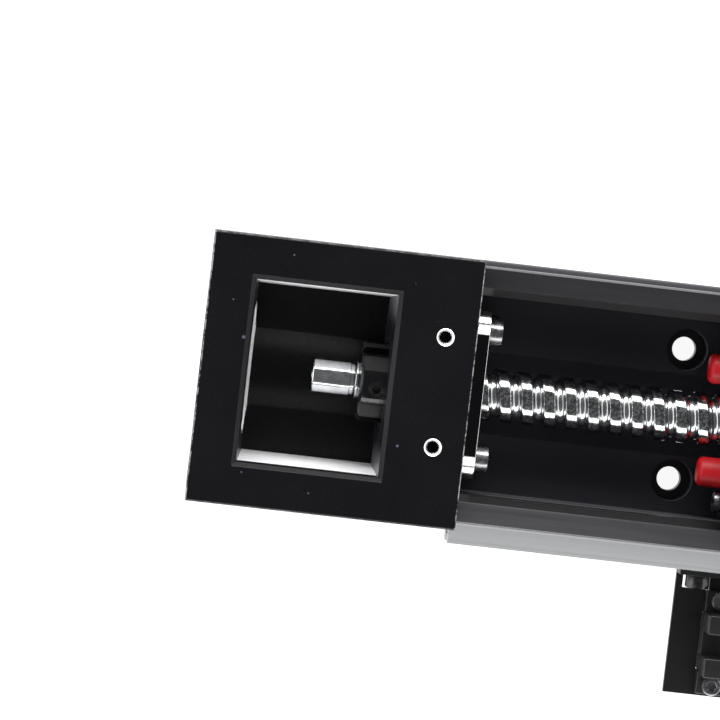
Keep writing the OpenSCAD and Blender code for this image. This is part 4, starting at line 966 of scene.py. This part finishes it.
class LINEARMODULE_OT_ball_screw(bpy.types.Operator):
    """Winds the ball screw's thread and turns its journals"""

    bl_idname = "linear_module.ball_screw"
    bl_label = "Ball Screw"

    def execute(self, context):
        s = SIZES()
        low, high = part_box("ball_screw")
        start, end = RAIL[0].x + 3 * MM, RAIL[1].x - 3 * MM
        mesh = thread_recipe().bake("ball_screw_thread", places("thread_seat", [(0, 0, 0)]), {
            "Start": start, "End": end, "Lead": s.lead, "Land Radius": s.land_radius,
            "Ball Path Radius": s.ball_path_radius, "Groove Radius": s.groove_radius,
            "Land Edge": s.land_edge, "End Radius": 5.6 * MM, "Axis Height": AXIS_Z,
            "Steps per Turn": s.screw_steps, "Profile Steps": 24,
            "Material": FINISHES["screw"]})
        bm = bmesh.new()
        bm.from_mesh(mesh)
        bpy.data.meshes.remove(mesh)
        bmesh.ops.holes_fill(bm, edges=[e for e in bm.edges if e.is_boundary], sides=0)
        nut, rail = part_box("lock_nut"), RAIL[0].x
        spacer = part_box("bearing_spacer")[0].x
        thread_end = nut[0].x - 1.2 * MM
        outline = [(low.x, 0.0), (low.x + 1.5 * MM, 0.5 * MM), (low.x + 0.01 * MM, 1.5 * MM),
                   (low.x, 3.72 * MM), (low.x + 0.05 * MM, 3.8 * MM),
                   (low.x + 0.22 * MM, 3.97 * MM), (low.x + 0.3 * MM, 4.0 * MM),
                   (thread_end - 1.0 * MM, 4.0 * MM), (thread_end - 0.85 * MM, 3.75 * MM),
                   (thread_end - 0.15 * MM, 3.75 * MM), (thread_end, 3.9 * MM)]
        pitch, x = 0.75 * MM, thread_end + 0.1 * MM
        while x < spacer - pitch:
            outline += [(x, 4.1 * MM), (x + pitch * 0.42, 4.49 * MM), (x + pitch * 0.58, 4.49 * MM)]
            x += pitch
        outline += [(spacer - 0.1 * MM, 4.1 * MM), (spacer, 4.9 * MM),
                    (spacer + 0.1 * MM, 5.0 * MM), (rail, 5.0 * MM),
                    (rail + 0.01 * MM, 5.55 * MM), (rail + 0.16 * MM, 5.7 * MM),
                    (start + 0.05 * MM, 5.7 * MM), (start + 0.05 * MM, 0.0)]
        lathe(bm, outline, 72, along_x(0, 0, AXIS_Z))
        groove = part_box("end_circlip")
        tail = [(end - 0.05 * MM, 0.0), (end - 0.05 * MM, 3.9 * MM), (end + 0.06 * MM, 4.0 * MM),
                (groove[0].x, 4.0 * MM), (groove[0].x, 3.7 * MM), (groove[1].x, 3.7 * MM),
                (groove[1].x, 4.0 * MM), (high.x - 0.4 * MM, 4.0 * MM), (high.x, 3.6 * MM),
                (high.x, 1.5 * MM), (high.x - 1.4 * MM, 0.4 * MM), (high.x - 1.5 * MM, 0.0)]
        lathe(bm, tail, 64, along_x(0, 0, AXIS_Z))
        piece("ball_screw_wound", finished_mesh(bm, "ball_screw_wound", 38.0), "screw", "screw",
              ["ball_screw"])
        return {"FINISHED"}


class LINEARMODULE_OT_balls(bpy.types.Operator):
    """Fills the guide, the nut and the bearings with their balls"""

    bl_idname = "linear_module.balls"
    bl_label = "Balls"

    def execute(self, context):
        recipe = ball_recipe()
        for node in ("guide_balls", "nut_balls", "front_bearing_balls", "end_bearing_balls"):
            seats = solids(node)
            size = max(seats[0][1] - seats[0][0])
            centres = [middle(b) for b in seats]
            mesh = recipe.bake(node + "_polished", places(node + "_seats", centres, {
                "direction": [(0.0, 0.0, 1.0)] * len(centres)}), {
                "Diameter": size, "Fineness": 2 if len(centres) > 60 else 3,
                "Material": FINISHES["balls"]})
            piece(node + "_polished", smooth(mesh, 60.0), "balls", NODE_BODY[node], [node])
        return {"FINISHED"}


class LINEARMODULE_OT_screws(bpy.types.Operator):
    """Sets every socket screw, with its knurled head and its socket"""

    bl_idname = "linear_module.screws"
    bl_label = "Socket Screws"

    # Node, thread, way that the head faces, finish
    GROUPS = (
        ("housing_screws", 4.0, (-1, 0, 0), "dark_fastener"),
        ("retainer_screws", 3.0, (1, 0, 0), "fastener"),
        ("end_housing_screws", 4.0, (1, 0, 0), "dark_fastener"),
        ("nut_screws", 2.5, (-1, 0, 0), "dark_fastener"),
        ("end_plate_screws", 2.5, None, "fastener"),
        ("flag_screws", 2.5, (0, -1, 0), "fastener"),
        ("near_clamp_screw", 3.0, (0, -1, 0), "dark_fastener"),
        ("far_clamp_screw", 3.0, (0, -1, 0), "dark_fastener"))

    def execute(self, context):
        recipe, knurl = socket_screw_recipe(), SIZES().knurl
        for node, thread, way, finish in self.GROUPS:
            seats, ways, total = [], [], 0.0
            for low, high in solids(node):
                facing = Vector(way) if way else Vector(
                    (1.0 if low.x + high.x > 0 else -1.0, 0, 0))
                centre, half = (low + high) / 2, (high - low) / 2
                top = centre + Vector(f * h for f, h in zip(facing, half))
                seats.append(top - facing * thread * MM)
                ways.append(facing)
                total = 2 * abs(half.dot(facing))
            mesh = recipe.bake(node + "_turned", places(node + "_seats", seats, {
                "direction": ways}), {
                "Head Diameter": (1.5 * thread + 1.0) * MM, "Head Height": thread * MM,
                "Shank Diameter": thread * MM, "Length": total - thread * MM,
                "Socket Width": 0.8 * thread * MM, "Socket Depth": thread / 2 * MM,
                "Knurl Depth": knurl, "Edge": 0.08 * thread * MM, "Steps": 72,
                "Material": FINISHES[finish]})
            piece(node + "_turned", smooth(mesh, 30.0), finish, NODE_BODY[node], [node])
        self.low_heads(recipe)
        self.countersunk(recipe)
        return {"FINISHED"}

    @staticmethod
    def low_heads(recipe):
        """The low heads that hold the sensors."""
        for node in ("near_sensor_screws", "far_sensor_screws"):
            boxes = solids(node)
            seats = [Vector((*middle(b).xy, b[1].z - 1.6 * MM)) for b in boxes]
            mesh = recipe.bake(node + "_turned", places(node + "_seats", seats, {
                "direction": [(0.0, 0.0, 1.0)] * len(seats)}), {
                "Head Diameter": 4.5 * MM, "Head Height": 1.6 * MM, "Shank Diameter": 3 * MM,
                "Length": boxes[0][1].z - boxes[0][0].z - 1.6 * MM, "Socket Width": 1.9 * MM,
                "Socket Depth": 0.9 * MM, "Knurl Depth": 0.0, "Edge": 0.3 * MM, "Steps": 48,
                "Material": FINISHES["fastener"]})
            piece(node + "_turned", smooth(mesh, 30.0), "fastener", NODE_BODY[node], [node])

    @staticmethod
    def countersunk(recipe):
        """The countersunk screws in the sensor rail's slot."""
        node = "sensor_rail_screws"
        boxes = solids(node)
        head = boxes[0][1].z - boxes[0][0].z
        seats = [Vector((middle(b).x, b[0].y + 0.2 * MM, middle(b).z)) for b in boxes]
        mesh = recipe.bake(node + "_turned", places(node + "_seats", seats, {
            "direction": [(0.0, -1.0, 0.0)] * len(seats)}), {
            "Head Diameter": head, "Head Height": 0.2 * MM, "Cone Height": 1.25 * MM,
            "Shank Diameter": 3 * MM, "Length": boxes[0][1].y - boxes[0][0].y - 0.2 * MM,
            "Socket Width": 2.0 * MM, "Socket Depth": 0.9 * MM, "Knurl Depth": 0.0,
            "Edge": 0.1 * MM, "Steps": 48, "Material": FINISHES["zinc"]})
        piece(node + "_turned", smooth(mesh, 30.0), "zinc", NODE_BODY[node], [node])


class LINEARMODULE_OT_housings(bpy.types.Operator):
    """Dresses the motor housing and the far end housing"""

    bl_idname = "linear_module.housings"
    bl_label = "Housings"

    def execute(self, context):
        dress("motor_housing", "housing", SIZES().edge)
        dress("end_housing", "housing", SIZES().edge)
        return {"FINISHED"}


class LINEARMODULE_OT_guide_rail(bpy.types.Operator):
    """Dresses the guide rail and the sensor rail beside it"""

    bl_idname = "linear_module.guide_rail"
    bl_label = "Guide Rail"

    def execute(self, context):
        low, high = RAIL
        dress("base_rail", "rail", SIZES().edge, angle=30.0, reshape=self.widen_slopes)
        self.foot(low, high)
        dress("sensor_rail", "aluminium", SIZES().plate_edge)
        return {"FINISHED"}

    @staticmethod
    def widen_slopes(verts):
        """Widens the slope at the inner top edge of each wall."""
        top = RAIL[1].z
        for v in verts:
            side, out = math.copysign(1.0, v.co.y), abs(v.co.y)
            if v.co.z > top - 0.05 * MM and out < 24 * MM:
                v.co.y = side * 24.1 * MM
            elif top - 1.6 * MM < v.co.z < top - 0.1 * MM and out < 22.5 * MM:
                v.co.z = top - 2.3 * MM

    @staticmethod
    def foot(low, high):
        """The narrow foot that stands out along both sides of the rail."""
        bm = bmesh.new()
        wide = CAD_BOX[1].y
        for side in (-1.0, 1.0):
            inner, outer = side * (high.y - 0.4 * MM), side * wide
            bar = bmesh.new()
            block(bar, (low.x + 0.3 * MM, min(inner, outer), 0.3 * MM),
                  (high.x - 0.3 * MM, max(inner, outer), 3.4 * MM))
            bmesh.ops.bevel(bar, geom=bar.edges[:], offset=0.4 * MM, segments=3,
                            affect="EDGES", profile=0.5, clamp_overlap=True)
            part = bpy.data.meshes.new("foot_part")
            bar.to_mesh(part)
            bar.free()
            bm.from_mesh(part)
            bpy.data.meshes.remove(part)
        piece("base_rail_foot", finished_mesh(bm, "base_rail_foot"), "rail",
              NODE_BODY["base_rail"], [])


class LINEARMODULE_OT_bearings(bpy.types.Operator):
    """Dresses the bearings, the lock nut and the retainer plate"""

    bl_idname = "linear_module.bearings"
    bl_label = "Bearings and Lock Nut"

    def execute(self, context):
        dress("bearing_retainer_plate", "nickel", SIZES().edge, segments=3)
        dress("lock_nut", "oxide", SIZES().edge, segments=3)
        dress("bearing_spacer", "bearing", SIZES().plate_edge)
        dress("end_circlip", "oxide", 0.08 * MM)
        dress("screw_seal", "rubber", SIZES().plate_edge)
        repaint("lock_nut_set_screws", "dark_fastener")
        for node in ("front_bearing_outer_rings", "front_bearing_inner_rings",
                     "end_bearing_outer_ring", "end_bearing_inner_ring"):
            repaint(node, "bearing")
        repaint("front_bearing_cages", "brass")
        return {"FINISHED"}


class LINEARMODULE_OT_carriage(bpy.types.Operator):
    """Dresses the carriage, its end plates and wipers, and the ball nut"""

    bl_idname = "linear_module.carriage"
    bl_label = "Carriage"

    def execute(self, context):
        dress("carriage_block", "carriage", SIZES().edge, angle=50.0)
        for node in ("near_end_plate", "far_end_plate"):
            dress(node, "nylon", SIZES().moulded_edge, angle=50.0)
        for node in ("near_wiper", "far_wiper"):
            dress(node, "rubber", SIZES().plate_edge, angle=50.0)
        repaint("ball_nut", "bearing")
        repaint("nut_deflectors", "brass")
        return {"FINISHED"}


class LINEARMODULE_OT_bumpers(bpy.types.Operator):
    """Turns the four bumpers with their rounded noses"""

    bl_idname = "linear_module.bumpers"
    bl_label = "Bumpers"

    def execute(self, context):
        nose = SIZES().bumper_nose
        bm = bmesh.new()
        for low, high in solids("bumpers"):
            side = 1.0 if low.x > 0 else -1.0
            radius, long = (high.y - low.y) / 2, high.x - low.x
            stud, seat = 1.5 * MM, 4.0 * MM
            outline = [(0.0, 0.0), (0.0, stud), (seat, stud), (seat, radius - 0.3 * MM),
                       (seat + 0.3 * MM, radius), (long - nose, radius)]
            outline += [(long - nose * (1 - math.sin(a)), radius - nose * (1 - math.cos(a)))
                        for a in (math.pi / 12 * k for k in range(1, 7))]
            outline.append((long, 0.0))
            where = middle((low, high))
            foot = low.x if side > 0 else high.x
            lathe(bm, outline, 48, along_x(foot, where.y, where.z, side))
        piece("bumpers_turned", finished_mesh(bm, "bumpers_turned"), "red", "carriage",
              ["bumpers"])
        return {"FINISHED"}


class LINEARMODULE_OT_grease_nipple(bpy.types.Operator):
    """Turns the grease nipple with its six-sided base and ball head"""

    bl_idname = "linear_module.grease_nipple"
    bl_label = "Grease Nipple"

    def execute(self, context):
        low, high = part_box("grease_nipple")
        z = (low.z + high.z) / 2
        bm = bmesh.new()
        lathe(bm, [(0, 0), (0, 2.0 * MM), (6 * MM, 2.0 * MM), (6 * MM, 0)], 32,
              along_x(low.x, 0, z))
        lathe(bm, [(6 * MM, 0), (6 * MM, 2.6 * MM), (6.2 * MM, 2.8 * MM), (7.8 * MM, 2.8 * MM),
                   (8 * MM, 2.6 * MM), (8 * MM, 0)], 6, along_x(low.x, 0, z))
        lathe(bm, [(7.9 * MM, 0), (7.9 * MM, 2.0 * MM), (8.3 * MM, 1.9 * MM), (9.2 * MM, 1.15 * MM),
                   (9.5 * MM, 1.15 * MM), (9.8 * MM, 1.5 * MM), (10.3 * MM, 1.6 * MM),
                   (10.7 * MM, 1.4 * MM), (10.95 * MM, 0.9 * MM), (11 * MM, 0.4 * MM),
                   (10.8 * MM, 0.35 * MM), (10.7 * MM, 0.0)], 40, along_x(low.x, 0, z))
        piece("grease_nipple_turned", finished_mesh(bm, "grease_nipple_turned"), "brass",
              "carriage", ["grease_nipple"])
        return {"FINISHED"}


class LINEARMODULE_OT_sensors(bpy.types.Operator):
    """Builds the two slotted sensors with their pins, brackets, nuts and flag"""

    bl_idname = "linear_module.sensors"
    bl_label = "Sensors and Flag"

    def execute(self, context):
        pins = pin_recipe()
        for side in ("near", "far"):
            self.sensor(side, pins)
            dress(side + "_sensor_bracket", "coat", SIZES().plate_edge)
            repaint(side + "_sensor_nuts", "zinc")
            repaint(side + "_slot_nut", "zinc")
        dress("sensor_flag", "zinc", SIZES().plate_edge)
        return {"FINISHED"}

    @staticmethod
    def sensor(side, pins):
        node, body = side + "_limit_sensor", side + "_sensor"
        low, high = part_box(node)
        x, y = (low.x + high.x) / 2, (low.y + high.y) / 2
        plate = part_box(side + "_sensor_bracket")[0].z + 1.2 * MM
        ear = plate + 3 * MM
        bm = bmesh.new()
        block(bm, (low.x, low.y, plate), (high.x, high.y, ear))
        for s in (-1.0, 1.0):
            inner, outer = y + s * 2.7 * MM, y + s * 7.1 * MM
            block(bm, (low.x, min(inner, outer), ear - 0.5 * MM),
                  (high.x, max(inner, outer), high.z))
        block(bm, (low.x, y - 6.5 * MM, plate - 2.4 * MM), (high.x, y + 6.5 * MM, plate + 0.5 * MM))
        bmesh.ops.bevel(bm, geom=bm.edges[:], offset=SIZES().moulded_edge, segments=3,
                        affect="EDGES", profile=0.5, clamp_overlap=True)
        # Two raised ribs on the inner face of each arm, with the light's slit between them
        for s in (-1.0, 1.0):
            face = y + s * 2.7 * MM
            for off in (-0.75, 0.75):
                block(bm, (x + (off - 0.3) * MM, min(face - s * 0.12 * MM, face + s * 0.3 * MM),
                           ear + 2 * MM),
                      (x + (off + 0.3) * MM, max(face - s * 0.12 * MM, face + s * 0.3 * MM),
                       high.z - 1.2 * MM))
        piece(node + "_moulded", finished_mesh(bm, node + "_moulded", 30.0), "sensor", body,
              [node])
        seats = [(x, y + k * 2.5 * MM, plate - 2.3 * MM) for k in (-1.5, -0.5, 0.5, 1.5)]
        mesh = pins.bake(node + "_pins", places(node + "_pin_seats", seats, {
            "direction": [(0.0, 0.0, -1.0)] * 4}), {
            "Width": 0.6 * MM, "Length": plate - 2.3 * MM - low.z, "Material": FINISHES["zinc"]})
        piece(node + "_pins", smooth(mesh, 30.0), "zinc", body, [])


class LINEARMODULE_PT_panel(bpy.types.Panel):
    """Lists the module's pieces"""

    bl_label = "Ball Screw Linear Module"
    bl_space_type = "VIEW_3D"
    bl_region_type = "UI"
    bl_category = "Module"

    def draw(self, context):
        for operator in OPERATORS:
            self.layout.operator(operator.bl_idname)
        for group in (context.scene.linear_module_sizes, context.scene.linear_module_colours):
            box = self.layout.box()
            for key in group.__annotations__:
                box.prop(group, key)


OPERATORS = (
    LINEARMODULE_OT_stage, LINEARMODULE_OT_ball_screw, LINEARMODULE_OT_balls,
    LINEARMODULE_OT_screws, LINEARMODULE_OT_housings, LINEARMODULE_OT_guide_rail,
    LINEARMODULE_OT_bearings, LINEARMODULE_OT_carriage, LINEARMODULE_OT_bumpers,
    LINEARMODULE_OT_grease_nipple, LINEARMODULE_OT_sensors)
CLASSES = (ModuleSizes, ModuleColours, *OPERATORS, LINEARMODULE_PT_panel)


def register():
    for cls in CLASSES:
        bpy.utils.register_class(cls)
    bpy.types.Scene.linear_module_sizes = PointerProperty(type=ModuleSizes)
    bpy.types.Scene.linear_module_colours = PointerProperty(type=ModuleColours)


def unregister():
    del bpy.types.Scene.linear_module_colours
    del bpy.types.Scene.linear_module_sizes
    for cls in reversed(CLASSES):
        bpy.utils.unregister_class(cls)


def main():
    """Builds the module."""
    register()
    bpy.ops.linear_module.stage()
    bpy.ops.linear_module.ball_screw()
    bpy.ops.linear_module.balls()
    bpy.ops.linear_module.screws()
    bpy.ops.linear_module.housings()
    bpy.ops.linear_module.guide_rail()
    bpy.ops.linear_module.bearings()
    bpy.ops.linear_module.carriage()
    bpy.ops.linear_module.bumpers()
    bpy.ops.linear_module.grease_nipple()
    bpy.ops.linear_module.sensors()


if __name__ == "__main__":
    main()
